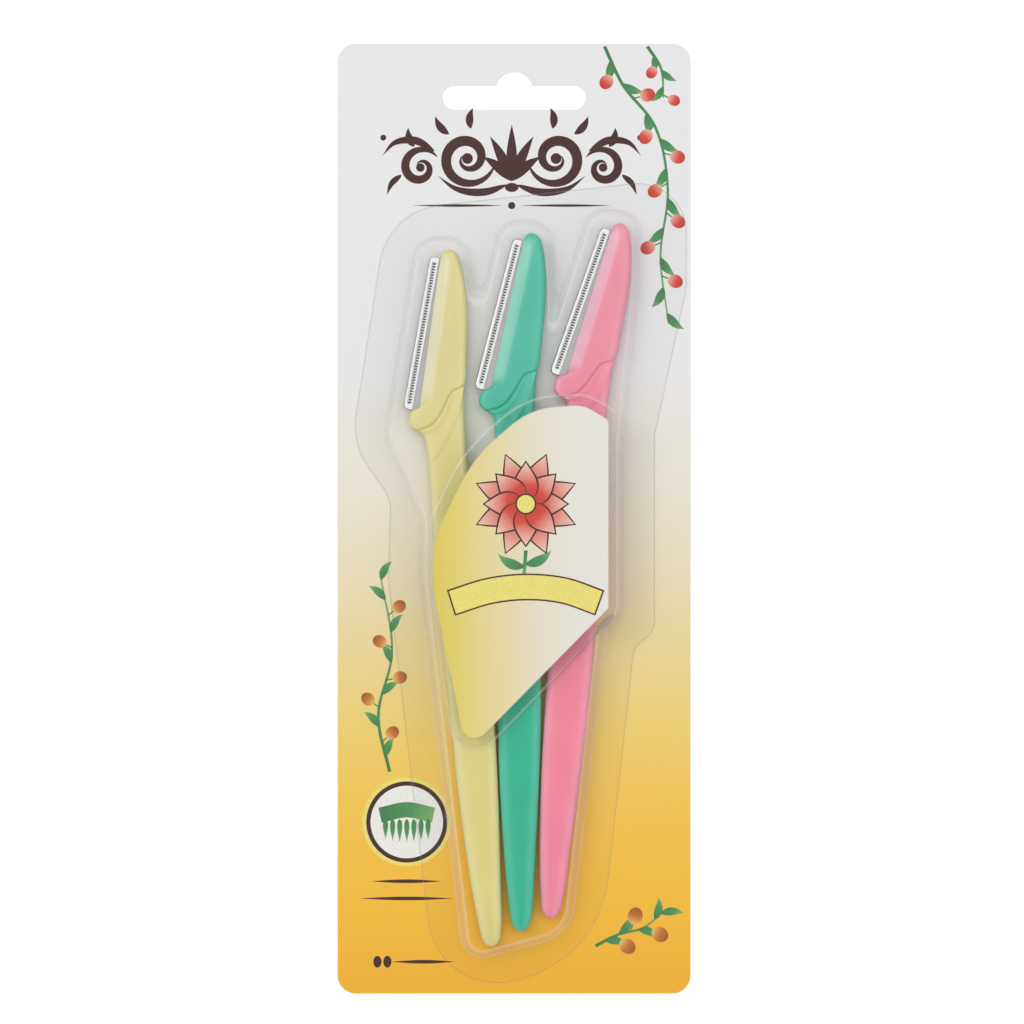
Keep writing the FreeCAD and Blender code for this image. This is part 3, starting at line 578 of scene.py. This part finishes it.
for colour in RAZOR_TIP:
    blade_turn = math.radians(RAZOR_TURN[colour]) - FOLD_TURN
    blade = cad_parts[f"{colour}_blade"]
    blade.data.materials.clear()
    # The edge finish goes on the sleeve of painted shade.
    for kind, piece in (("blade", blade), ("foil", foils[colour]), ("edge", shade_sleeves[colour])):
        piece.data.materials.append(brushed_finish(f"{colour}_{kind}_steel", blade_turn, *STEEL[kind]))
print("steel finishes:", ", ".join(STEEL))

# %% [markdown]
# The card is coated board, printed with a tint that runs from a cool off-white at the top to a warm yellow
# at the foot. Its solid has the right shape, so only the finish is made here: a ramp along Y on the front,
# bare white board on the back and the cut edges, and a faint paper grain.

# %% Card finish
CARD_TINT = [(100.0, (233, 232, 233)), (32.0, (233, 232, 232)), (20.0, (232, 229, 220)),
             (8.5, (233, 228, 212)), (-2.5, (233, 225, 198)), (-13.6, (234, 221, 184)),
             (-27.0, (235, 214, 154)), (-40.0, (237, 209, 125)), (-49.0, (239, 205, 103)),
             (-62.0, (242, 198, 77)), (-75.5, (244, 190, 57)), (-89.0, (243, 185, 45)),
             (-101.0, (241, 177, 36))]
CARD_LOW, CARD_HIGH = -105.0, 105.0


def tint_stops(tint, low, high):
    """Ramp stops from pairs of a place in millimetres and a screen colour."""
    return sorted(((place - low) / (high - low), srgb(*colour)) for place, colour in tint)


def facing_up(tree):
    """1 on the front of a flat piece, 0 on its cut edges and its back, by the piece's own normal."""
    normal = add_node(tree, "ShaderNodeTexCoord").outputs["Normal"]
    upward = add_node(tree, "ShaderNodeSeparateXYZ", {"Vector": normal}).outputs["Z"]
    return map_range(tree, upward, 0.4, 0.6)


card_finish, tree, shader = new_finish("coated_card", Roughness=0.42, Specular_IOR_Level=0.35)
place = add_node(tree, "ShaderNodeTexCoord").outputs["Object"]
axes = add_node(tree, "ShaderNodeSeparateXYZ", {"Vector": place})
printed = colour_ramp(tree, map_range(tree, axes.outputs["Y"], CARD_LOW * MM, CARD_HIGH * MM),
                      tint_stops(CARD_TINT, CARD_LOW, CARD_HIGH))
grain = grain_bump(tree, shader, place, 1400.0, 0.05, 0.0003)
board = colour_ramp(tree, grain, [(0.3, srgb(226, 224, 219)), (0.7, srgb(236, 235, 231))])
tone = mix_colour(tree, facing_up(tree), board, printed)
tree.links.new(tone, shader.inputs["Base Color"])
tree.links.new(map_range(tree, grain, 0.3, 0.7, 0.38, 0.48), shader.inputs["Roughness"])
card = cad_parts["backing_card"]
card.data.materials.clear()
card.data.materials.append(card_finish)
print("card finish with", len(CARD_TINT), "tints")

# %% [markdown]
# The label is a paper insert in the raised panel. Its tint runs from yellow at its left to cream at its
# right, and its cut edge is plain paper.

# %% Label finish
LABEL_TINT = [(-19.0, (222, 200, 70)), (-12.0, (226, 207, 116)), (-4.0, (229, 216, 160)),
              (4.0, (229, 221, 196)), (12.0, (230, 226, 216)), (21.0, (231, 227, 222))]
LABEL_LOW, LABEL_HIGH = -21.0, 21.0
LABEL_LEAN = 0.04
label_finish, tree, shader = new_finish("label_paper_print", Roughness=0.40, Specular_IOR_Level=0.35)
place = add_node(tree, "ShaderNodeTexCoord").outputs["Object"]
axes = add_node(tree, "ShaderNodeSeparateXYZ", {"Vector": place})
lean = add_node(tree, "ShaderNodeMath", {0: axes.outputs["Y"], 1: LABEL_LEAN}, operation="MULTIPLY")
sideways = add_node(tree, "ShaderNodeMath", {0: axes.outputs["X"], 1: lean.outputs[0]}, operation="ADD")
printed = colour_ramp(tree, map_range(tree, sideways.outputs[0], LABEL_LOW * MM, LABEL_HIGH * MM),
                      tint_stops(LABEL_TINT, LABEL_LOW, LABEL_HIGH))
grain = grain_bump(tree, shader, place, 1300.0, 0.05, 0.0003)
tone = mix_colour(tree, facing_up(tree), srgb(238, 236, 230), printed)
tree.links.new(tone, shader.inputs["Base Color"])
tree.links.new(map_range(tree, grain, 0.3, 0.7, 0.36, 0.46), shader.inputs["Roughness"])
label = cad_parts["front_label"]
label.data.materials.clear()
label.data.materials.append(label_finish)
print("label finish with", len(LABEL_TINT), "tints")

# %% [markdown]
# The card and the label are printed. The ornament here is a plain traditional one: a scroll with a palmette
# across the top, berry sprigs at the sides, a round inset with a comb, and a rosette over a blank ribbon on
# the label. Each mark is a ribbon: a path whose points are moved to both sides by half a width, so that one
# formula gives stems, leaves, berries, scrolls and rules. Marks of one ink are joined into one thin piece,
# and marks that lie over others are printed a few micrometres higher.

# %% Helpers for printed marks
INK = 0.006
INK_STEP = 0.0002
PETAL_STEP = 0.0012


def path_through(points, steps=40):
    """Smooth path through a few points, spaced by the length of its chords."""
    points = np.array(points, float)
    chord = np.concatenate([[0.0], np.cumsum(np.linalg.norm(np.diff(points, axis=0), axis=1))])
    place = np.linspace(0.0, chord[-1], steps)
    return np.column_stack([smooth_curve(place, chord, column) for column in points.T])


def spiral_path(centre, start_radius, end_radius, start_angle, end_angle, steps=60):
    """Radius and angle both run evenly from their start to their end."""
    t = np.linspace(0.0, 1.0, steps)
    radius = start_radius + (end_radius - start_radius) * t
    angle = np.radians(start_angle + (end_angle - start_angle) * t)
    return np.column_stack([centre[0] + radius * np.cos(angle), centre[1] + radius * np.sin(angle)])


def ribbon(path, width):
    """Strip along a path, half the width to either side of it, with the share along it."""
    tangent = np.gradient(path, axis=0)
    normal = np.column_stack([-tangent[:, 1], tangent[:, 0]]) / np.linalg.norm(tangent, axis=1, keepdims=True)
    side = normal * (np.broadcast_to(width, len(path)) / 2)[:, None]
    share = np.linspace(0.0, 1.0, len(path))
    return np.stack([path + side, path - side], axis=1).reshape(-1, 2), np.repeat(share, 2)


def swelling(path, width, fullness=1.0):
    """Ribbon that is pointed at both ends: its width follows a sine along the path."""
    t = np.linspace(0.0, 1.0, len(path))
    return ribbon(path, width * np.maximum(np.sin(np.pi * t ** fullness), 0.01))


def leaf_mark(base, angle, length, width, curl=0.12):
    """Leaf from its base: a slightly curved line that swells near its first third."""
    t = np.linspace(0.0, 1.0, 16)
    turn = np.radians(angle)
    along = length * t
    aside = curl * length * 4 * t * (1 - t)
    path = np.column_stack([base[0] + along * np.cos(turn) - aside * np.sin(turn),
                            base[1] + along * np.sin(turn) + aside * np.cos(turn)])
    return swelling(path, width, 0.8)


def berry_mark(centre, angle, length, width):
    """Oval: a straight ribbon whose width is that of an ellipse."""
    t = (1 - np.cos(np.linspace(0.0, np.pi, 20))) / 2
    turn = np.radians(angle)
    along = length * (t - 0.5)
    path = np.column_stack([centre[0] + along * np.cos(turn), centre[1] + along * np.sin(turn)])
    return ribbon(path, width * np.maximum(np.sqrt(1 - (2 * t - 1) ** 2), 0.01))


def mirrored(path, middle):
    """The same path on the other side of an upright line."""
    return np.column_stack([2 * middle - path[:, 0], path[:, 1]])


def print_marks(name, marks, height, body, finish, step=INK_STEP):
    """Join the marks of one ink into one thin flat piece, each mark a hair above the one before it."""
    points, faces, shares, count = [], [], [], 0
    for order, (outline, share) in enumerate(marks):
        points.append(np.column_stack([outline, np.full(len(outline), height + step * order)]))
        faces.append(count + grid_quads(len(outline) // 2, 2))
        shares.append(share)
        count += len(outline)
    piece = add_piece(name, np.concatenate(points), np.concatenate(faces).tolist(), body)
    piece.data.polygons.foreach_set("use_smooth", np.zeros(len(piece.data.polygons), bool))
    add_attribute(piece, "along", np.concatenate(shares))
    layer = piece.modifiers.new("ink", "SOLIDIFY")
    layer.thickness = INK * MM
    layer.offset = -1.0
    piece.data.materials.append(finish)
    print(name, "with", len(marks), "marks")
    return piece


def ink_finish(name, stops):
    """Printed ink: a ramp along each mark, slightly broken by the grain of the paper."""
    finish, tree, shader = new_finish(name, Roughness=0.42, Specular_IOR_Level=0.35)
    place = add_node(tree, "ShaderNodeTexCoord").outputs["Object"]
    along = add_node(tree, "ShaderNodeAttribute", attribute_name="along").outputs["Fac"]
    tone = colour_ramp(tree, along, [(share, srgb(*colour)) for share, colour in stops])
    grain = add_node(tree, "ShaderNodeTexNoise", {"Vector": place, "Scale": 1800.0, "Detail": 3.0})
    shade = map_range(tree, grain.outputs["Fac"], 0.3, 0.7, 0.93, 1.04)
    tree.links.new(mix_colour(tree, 1.0, tone, shade, "MULTIPLY"), shader.inputs["Base Color"])
    tree.links.new(map_range(tree, grain.outputs["Fac"], 0.3, 0.7, 0.38, 0.50), shader.inputs["Roughness"])
    return finish


BROWN = ink_finish("brown_ink", [(0.0, (66, 28, 22)), (1.0, (60, 25, 20))])
GREEN = ink_finish("leaf_ink", [(0.0, (58, 122, 72)), (0.6, (74, 146, 84)), (1.0, (122, 176, 104))])
RED = ink_finish("berry_ink", [(0.0, (176, 40, 34)), (0.45, (214, 70, 56)), (1.0, (240, 200, 180))])
AMBER = ink_finish("amber_ink", [(0.0, (132, 62, 22)), (0.5, (196, 112, 34)), (1.0, (242, 206, 120))])
WHITE = ink_finish("white_ink", [(0.0, (236, 235, 230)), (1.0, (236, 235, 230))])
YELLOW = ink_finish("yellow_ink", [(0.0, (236, 222, 118)), (1.0, (236, 222, 118))])

# %% Scroll across the top of the card
CARD_INK = 0.5075
ORNAMENT_MIDDLE = -0.5
scroll_marks = []
for side in (1, -1):
    paths = [spiral_path((9.8, 79.6), 6.2, 1.1, -170, 400), spiral_path((20.2, 77.6), 4.4, 0.9, 150, -330),
             path_through([(1.0, 73.8), (6.0, 72.2), (12.5, 73.0), (16.4, 75.8)]),
             path_through([(17.0, 81.2), (21.5, 83.6), (26.0, 83.0), (28.6, 80.2)]),
             path_through([(24.4, 76.0), (26.6, 74.0), (27.6, 71.6)])]
    widths = [2.3, 1.9, 1.7, 1.7, 1.3]
    for curve, width in zip(paths, widths):
        curve = curve + (ORNAMENT_MIDDLE, 0.0)
        curve = curve if side == 1 else mirrored(curve, ORNAMENT_MIDDLE)
        scroll_marks.append(swelling(curve, width, 0.7))
    for x, y, angle, length in ((13.8, 85.0, 52, 5.0), (9.0, 86.2, 96, 4.6), (21.5, 82.2, 72, 4.4)):
        angle = angle if side == 1 else 180 - angle
        scroll_marks.append(leaf_mark((ORNAMENT_MIDDLE + side * x, y), angle, length, 1.7, -0.12 * side))
    scroll_marks += [berry_mark((ORNAMENT_MIDDLE + side * x, y), 0, size, size)
                     for x, y, size in ((9.8, 79.6, 2.4), (20.2, 77.6, 1.9), (28.4, 84.2, 1.3))]
for angle, length in ((90, 12.5), (64, 11.0), (116, 11.0), (40, 8.4), (140, 8.4)):
    scroll_marks.append(leaf_mark((ORNAMENT_MIDDLE, 74.6), angle, length, 2.3, 0.03 * (90 - angle) / 26))
scroll_marks.append(berry_mark((ORNAMENT_MIDDLE, 73.2), 0, 3.0, 2.0))
scroll_marks += [swelling(path_through([(ORNAMENT_MIDDLE - 22, 69.2), (ORNAMENT_MIDDLE - 2, 69.2)]), 0.55),
                 swelling(path_through([(ORNAMENT_MIDDLE + 2, 69.2), (ORNAMENT_MIDDLE + 22, 69.2)]), 0.55),
                 berry_mark((ORNAMENT_MIDDLE, 69.2), 0, 1.6, 1.6)]

# %% Sprigs on the card
LEAF_LEAN = 38
BERRY_LEAN = 62
leaf_marks, berry_marks, amber_marks = [], [], []


def sprig(points, leaves, berries, store, leaf_size, berry_size):
    """Stem through the points, with leaves and berries at shares of its length on alternating sides."""
    stem = path_through(points, 80)
    tangent = np.degrees(np.arctan2(*np.gradient(stem, axis=0).T[::-1]))
    leaf_marks.append(ribbon(stem, np.linspace(0.75, 0.35, len(stem))))
    for order, share in enumerate(leaves):
        spot = int(share * (len(stem) - 1))
        side = 1 if order % 2 else -1
        leaf_marks.append(leaf_mark(stem[spot], tangent[spot] + side * LEAF_LEAN, leaf_size, 0.36 * leaf_size,
                                    -0.10 * side))
    for order, share in enumerate(berries):
        spot = int(share * (len(stem) - 1))
        side = 1 if order % 2 else -1
        lean = np.radians(tangent[spot] + side * BERRY_LEAN)
        centre = stem[spot] + 0.95 * berry_size * np.array([np.cos(lean), np.sin(lean)])
        leaf_marks.append(ribbon(path_through([stem[spot], centre], 6), 0.3))
        store.append(berry_mark(centre, np.degrees(lean) + 180, berry_size, 0.86 * berry_size))


sprig([(20.0, 104.4), (24.0, 96.0), (31.0, 87.0), (34.0, 73.0), (32.4, 58.0), (34.2, 43.0)],
      (0.06, 0.15, 0.27, 0.37, 0.47, 0.57, 0.68, 0.78, 0.88, 0.97),
      (0.10, 0.21, 0.32, 0.42, 0.52, 0.63, 0.73, 0.84), berry_marks, 5.2, 3.4)
sprig([(29.5, 104.4), (32.5, 99.5), (33.0, 93.0)], (0.2, 0.5, 0.8), (0.35, 0.95), berry_marks, 4.2, 2.8)
sprig([(-27.5, -56.0), (-30.0, -44.0), (-27.0, -30.0), (-29.5, -12.5)],
      (0.08, 0.24, 0.40, 0.56, 0.72, 0.88, 0.98), (0.16, 0.33, 0.48, 0.64, 0.80), amber_marks, 4.8, 3.2)
sprig([(18.0, -94.5), (23.0, -92.0), (28.5, -90.5), (33.0, -87.0)],
      (0.15, 0.35, 0.60, 0.85, 0.97), (0.28, 0.5, 0.72), amber_marks, 5.0, 3.8)

# %% Round inset and rules at the foot of the card
RING = (-23.7, -67.1)
ring_marks = [ribbon(spiral_path(RING, 9.3, 9.3, 0, 360, 72), 1.0)]
disc_marks = [berry_mark(RING, 0, 16.8, 16.8)]
scroll_marks += [ribbon(spiral_path(RING, 8.5, 8.5, 0, 360, 72), 0.95),
                 swelling(path_through([(-31.5, -80.2), (-16.0, -80.2)]), 0.8),
                 swelling(path_through([(-34.0, -84.0), (-13.5, -84.0)]), 0.8),
                 swelling(path_through([(-27.0, -98.0), (-13.0, -98.0)]), 0.8)]
scroll_marks += [berry_mark((x, -98.0), 90, 2.6, 1.8) for x in (-30.2, -28.0)]
comb_marks = [ribbon(path_through([(-29.6, -65.6), (-23.7, -64.4), (-17.8, -65.6)]), 3.4)]
comb_marks += [swelling(path_through([(x, -66.4), (x, -71.6 + 0.03 * (x + 23.7) ** 2)], 12), 1.15, 0.6)
               for x in np.linspace(-28.4, -19.0, 7)]

# %% Rosette and ribbon on the label
LABEL_INK = 10.162
ROSETTE = (2.6, 3.2)
petal_angles = np.concatenate([np.arange(8) * 45.0 + 22.5, np.arange(8) * 45.0])
petal_lengths = np.repeat([11.4, 9.0], 8)
petals = list(zip(petal_angles, petal_lengths))
petal_marks = [leaf_mark(ROSETTE, turn, reach, 5.0, 0.0) for turn, reach in petals]
petal_rims = [leaf_mark(ROSETTE, turn, reach + 0.5, 5.7, 0.0) for turn, reach in petals]
banner_points = [(-13.5, -18.4), (-5.0, -15.8), (3.0, -15.0), (11.0, -15.8), (18.5, -18.4)]
banner_marks = [ribbon(path_through(banner_points), 5.2)]
banner_rims = [ribbon(path_through([(-13.84, -18.5), *banner_points[1:-1], (18.84, -18.5)]), 5.9)]
stem_marks = [ribbon(path_through([(2.6, -7.0), (2.2, -12.4)]), 0.8), leaf_mark((2.4, -10.5), 155, 6.5, 2.2),
              leaf_mark((2.4, -10.0), 28, 6.5, 2.2, -0.12)]
heart_rims = [berry_mark(ROSETTE, 0, 4.6, 4.6)]
heart_marks = [berry_mark(ROSETTE, 0, 3.9, 3.9)]

# %% Put the inks on
CARD_PRINTS = [("scroll_print", scroll_marks, 0.002, BROWN),
               ("sprig_print", leaf_marks, 0.0, GREEN),
               ("red_berry_print", berry_marks, 0.0125, RED),
               ("amber_berry_print", amber_marks, 0.0125, AMBER),
               ("inset_disc_print", disc_marks, -0.0005, WHITE),
               ("inset_ring_print", ring_marks, 0.0, YELLOW),
               ("inset_comb_print", comb_marks, 0.0, GREEN)]
LABEL_PRINTS = [("stem_print", stem_marks, -0.003, GREEN, INK_STEP),
                ("petal_rim_print", petal_rims, 0.0, BROWN, PETAL_STEP),
                ("petal_print", petal_marks, PETAL_STEP / 2, RED, PETAL_STEP),
                ("banner_rim_print", banner_rims + heart_rims, 0.021, BROWN, INK_STEP),
                ("banner_print", banner_marks + heart_marks, 0.023, YELLOW, INK_STEP)]
for name, marks, lift, finish in CARD_PRINTS:
    print_marks(name, marks, CARD_INK + lift, "card", finish)
for name, marks, lift, finish, step in LABEL_PRINTS:
    print_marks(name, marks, LABEL_INK + lift, "blister", finish, step)

# %% [markdown]
# The blister is one sheet of clear film drawn over a form: a flat flange on the card, steep walls with
# rounded feet and rims, a flat roof, and a raised panel that follows the label. Film shows itself only by its
# bends, so those must be round. Each wall is a rounded profile carried along a rounded outline, by moving the
# outline inwards as the profile climbs. The flat parts are filled between those rings, and Solidify gives
# the sheet its thickness.


# %% Outlines of the blister
def side_directions(corners):
    """Unit directions of the sides that arrive at and leave each corner."""
    leave = np.roll(corners, -1, axis=0) - corners
    leave = leave / np.linalg.norm(leave, axis=1, keepdims=True)
    return np.roll(leave, 1, axis=0), leave


def moved_inwards(corners, radii, inward):
    """Each side moves inwards by a distance: a corner goes along its bisector, and its radius follows."""
    arrive, leave = side_directions(corners)
    out_a = np.stack([arrive[:, 1], -arrive[:, 0]], axis=1)
    out_b = np.stack([leave[:, 1], -leave[:, 0]], axis=1)
    push = (out_a + out_b) / (1 + np.sum(out_a * out_b, axis=1, keepdims=True))
    bend = np.sign(arrive[:, 0] * leave[:, 1] - arrive[:, 1] * leave[:, 0])
    return corners - inward * push, np.maximum(radii - inward * bend, 0.15)


def rounded_outline(corners, radii, steps=10):
    """Every corner becomes an arc that touches both of its sides, with the same number of points on each."""
    arrive, leave = side_directions(corners)
    turn = np.arctan2(arrive[:, 0] * leave[:, 1] - arrive[:, 1] * leave[:, 0], np.sum(arrive * leave, axis=1))
    lengths = np.linalg.norm(np.roll(corners, -1, axis=0) - corners, axis=1)
    most = 0.49 * np.minimum(lengths, np.roll(lengths, 1))
    reach = np.minimum(radii * np.tan(np.abs(turn) / 2), most)
    radius = reach / np.maximum(np.tan(np.abs(turn) / 2), 1e-6)
    start = corners - arrive * reach[:, None]
    inner = np.stack([-arrive[:, 1], arrive[:, 0]], axis=1) * np.sign(turn)[:, None]
    centre = start + inner * radius[:, None]
    angle = turn[:, None] * np.linspace(0, 1, steps + 1)
    arm = start - centre
    x = centre[:, :1] + arm[:, :1] * np.cos(angle) - arm[:, 1:] * np.sin(angle)
    y = centre[:, 1:] + arm[:, :1] * np.sin(angle) + arm[:, 1:] * np.cos(angle)
    return np.stack([x, y], axis=-1).reshape(-1, 2)


def crossing(a, b, c, d):
    """Point where the line through a and b meets the line through c and d."""
    a, b, c, d = [np.asarray(point, float) for point in (a, b, c, d)]
    u, v = b - a, d - c
    share = ((c - a)[0] * v[1] - (c - a)[1] * v[0]) / (u[0] * v[1] - u[1] * v[0])
    return a + share * u


LOBE = {"A": (-7.1, 2.9), "B": (-16.6, -39.8), "C": (-11.1, -55.6), "D": (5.6, -55.6), "E": (5.6, -13.1),
        "F": (4.15, 2.9)}


def lobe(colour):
    """Corners of the pocket over one razor's head, in the frame of the pack."""
    return {key: to_pack(colour, np.array(x), np.array(y), np.array(0.0))[:2] for key, (x, y) in LOBE.items()}


yellow, green, pink = lobe("yellow"), lobe("green"), lobe("pink")
POCKET = [(24.2, 39.5), (-20.3, 47.5), (-20.9, -13.15), (-10.95, -98.0), (12.5, -91.75), (20.05, -24.35),
          (24.2, -21.5)]
left_join = crossing(yellow["B"], yellow["C"], POCKET[1], POCKET[2])
right_join = crossing(POCKET[6], POCKET[0], pink["D"], pink["E"])
green_pink = crossing(green["D"], green["E"], pink["A"], pink["B"])
yellow_green = crossing(yellow["F"], yellow["E"], green["A"], green["B"])
WALL_CORNERS = np.array([yellow["A"], yellow["B"], left_join, *POCKET[2:], right_join,
                         pink["E"], pink["F"], pink["A"], green_pink,
                         green["E"], green["F"], green["A"], yellow_green, yellow["F"]])
WALL_RADII = np.array([5.4, 5.0, 3.0, 8.9, 4.75, 8.9, 4.0, 4.0, 10.0,
                       8.9, 5.0, 5.4, 1.3,
                       8.9, 5.0, 5.4, 1.3, 5.0])
FLANGE_WIDTH = 7.0
FLANGE_BASE = np.array([yellow["A"], yellow["B"], (-20.3, 6.3), *POCKET[2:], (24.2, 19.3),
                        (31.2, pink["E"][1]), (31.2, pink["F"][1])])
FLANGE_RADII = np.array([14.9, 15.9, 21.9, 21.9, 15.4, 25.8, 18.9, 9.0, 15.9, 14.9, 14.9])
LABEL_SIZE = (38.4, 76.1)
LABEL_CORNER = (20.7, 24.9)
LABEL_SHARES = np.array([(0, .0434, .04), (.143, 0, .20), (.445, .0105, .50), (.772, .1537, .85),
                         (1, .3876, .50), (1, .531, .80), (.81, 1, .078), (0, .585, .02)])
print("blister outline with", len(WALL_CORNERS), "corners")


# %% The film
FILM = 0.32
FLANGE_TOP = 0.85
ROOF_TOP = 7.0
PANEL_TOP = 9.98
WALL_RUN = 1.2
WALL_BENDS = (0.7, 0.9)
PANEL_RUN = 2.2
PANEL_BENDS = (0.8, 0.7)
PANEL_MARGIN = 0.3
PANEL_STEEP = 0.75
ROOF_EDGE = 2.1
FLANGE_EDGE = ((0.0, 0.09), (0.05, 0.03), (0.2, 0.0))
BEND_STEPS = 6


def bent_profile(run, low, high, foot, rim):
    """Section of a wall as pairs of inset and height: flat, up a slope and flat, with both bends rounded."""
    line = np.array([(-3.0, low), (0.0, low), (run, high), (run + 3.0, high)])
    closed = np.concatenate([line, [(run + 3.0, low - 9.0), (-3.0, low - 9.0)]])
    radii = np.array([0.01, foot, rim, 0.01, 0.01, 0.01])
    bends = rounded_outline(closed, radii, BEND_STEPS)
    return bends[BEND_STEPS + 1:3 * (BEND_STEPS + 1)]


def swept_wall(corners, radii, profile):
    """One ring for each point of the profile: the outline moved inwards by its inset, at its height."""
    rings = []
    for inset, height in profile:
        ring = rounded_outline(*moved_inwards(corners, radii, inset))
        rings.append(np.column_stack([ring, np.full(len(ring), height)]))
    return np.array(rings)


def flat_faces(rings, starts):
    """Triangles that fill the flat part between closed rings of points, turned to face upwards."""
    flat = np.concatenate(rings)
    lookup = np.concatenate([start + np.arange(len(ring)) for start, ring in zip(starts, rings)])
    triangles = np.array(tessellate_polygon([[Vector(point) for point in ring] for ring in rings]))
    a, b, c = [flat[triangles[:, side], :2] for side in range(3)]
    area = (b - a)[:, 0] * (c - a)[:, 1] - (b - a)[:, 1] * (c - a)[:, 0]
    triangles[area < 0] = triangles[area < 0][:, ::-1]
    return lookup[triangles[np.abs(area) > 1e-9]].tolist()


def kept_inside(points, start, end, gap):
    """Points nearer than the gap to the side from start to end move straight inwards until they are not."""
    along = (np.asarray(end) - start) / np.linalg.norm(np.asarray(end) - start)
    inward = np.array([-along[1], along[0]])
    distance = (points[..., :2] - start) @ inward
    moved = points.copy()
    moved[..., :2] += np.maximum(gap - distance, 0.0)[..., None] * inward
    return moved


label_places = np.array(LABEL_CORNER) - np.array(LABEL_SIZE) * LABEL_SHARES[:, :2]
label_radii = LABEL_SIZE[0] * LABEL_SHARES[:, 2]
wall = swept_wall(WALL_CORNERS, WALL_RADII, bent_profile(WALL_RUN, FLANGE_TOP, ROOF_TOP, *WALL_BENDS))
panel = swept_wall(label_places, label_radii,
                   bent_profile(PANEL_RUN, ROOF_TOP, PANEL_TOP, *PANEL_BENDS)
                   - (PANEL_RUN + PANEL_MARGIN, 0.0))
roof_gap = ROOF_EDGE + PANEL_STEEP * (panel[..., 2] - ROOF_TOP) / (PANEL_TOP - ROOF_TOP)
for start, end in ((left_join, POCKET[2]), (POCKET[2], POCKET[3]), (POCKET[6], right_join)):
    panel = kept_inside(panel, start, end, roof_gap)
flange = swept_wall(FLANGE_BASE, FLANGE_RADII - FLANGE_WIDTH,
                    [(rim - FLANGE_WIDTH, FLANGE_TOP - drop) for rim, drop in FLANGE_EDGE])
wall_start, panel_start = 0, wall.shape[0] * wall.shape[1]
flange_start = panel_start + panel.shape[0] * panel.shape[1]
last_wall = panel_start - wall.shape[1]
last_panel = flange_start - panel.shape[1]
last_flange = flange_start + (flange.shape[0] - 1) * flange.shape[1]
film_points = np.concatenate([wall.reshape(-1, 3), panel.reshape(-1, 3), flange.reshape(-1, 3)])
film_faces = grid_quads(wall.shape[0], wall.shape[1], closed=True).tolist()
film_faces += (panel_start + grid_quads(panel.shape[0], panel.shape[1], closed=True)).tolist()
film_faces += (flange_start + grid_quads(flange.shape[0], flange.shape[1], closed=True)).tolist()
film_faces += flat_faces([flange[-1], wall[0]], [last_flange, wall_start])
film_faces += flat_faces([wall[-1], panel[0]], [last_wall, panel_start])
film_faces += flat_faces([panel[-1]], [last_panel])
film = add_piece("clear_blister_film", film_points, film_faces, "blister", ("blister",), 60.0)
film.data.polygons.foreach_set("use_smooth", np.array([len(face) == 4 for face in film_faces]))
# Painted highlight: a whitish share on each bend, strongest in its middle.
hump = np.sin(np.linspace(0, np.pi, BEND_STEPS + 1)) ** 2
bend_highlight_values = np.concatenate([np.repeat(np.concatenate([0.8 * hump, hump]), wall.shape[1]),
                              np.repeat(np.concatenate([hump, 0.4 * hump]), panel.shape[1]),
                              np.repeat([0.4, 0.4, 0.0], flange.shape[1])])
add_attribute(film, "bend", bend_highlight_values)
sheet = film.modifiers.new("sheet", "SOLIDIFY")
sheet.thickness = FILM * MM
sheet.offset = -1.0
print("film of", len(film_points), "points")

# %% [markdown]
# Clear film is almost nothing to look at from the front. It carries a painted highlight, a whitish share
# along its bends, and it is glossy where it is seen at a slant. A mix of a see-through shader and a glossy
# one
# does that: the attribute of the bends and the slant of the view give the share of gloss.

# %% Film finish
CLEAR_TINT = (0.987, 0.987, 0.987, 1.0)
GLOSS_TINT = (0.86, 0.87, 0.88, 1.0)
SLANT_GLOSS = (0.004, 0.17)
BEND_HIGHLIGHT = 0.20
film_finish, tree, shader = new_finish("clear_film", Roughness=0.10, Specular_IOR_Level=0.6)
shader.inputs["Base Color"].default_value = GLOSS_TINT
slant = add_node(tree, "ShaderNodeLayerWeight", {"Blend": 0.50}).outputs["Facing"]
clear = add_node(tree, "ShaderNodeBsdfTransparent", {"Color": CLEAR_TINT})
slant_share = map_range(tree, slant, 0.50, 0.95, *SLANT_GLOSS)
# The bend attribute paints a whitish highlight along the bends.
bend = add_node(tree, "ShaderNodeAttribute", attribute_name="bend").outputs["Fac"]
bend_highlight_share = map_range(tree, bend, 0.0, 1.0, 0.0, BEND_HIGHLIGHT)
share = add_node(tree, "ShaderNodeMath", {0: slant_share, 1: bend_highlight_share}, operation="ADD").outputs[0]
film_mix = add_node(tree, "ShaderNodeMixShader", {0: share, 1: clear.outputs[0], 2: shader.outputs[0]})
tree.links.new(film_mix.outputs[0], tree.nodes["Material Output"].inputs["Surface"])
film.data.materials.append(film_finish)
print("film finish set")
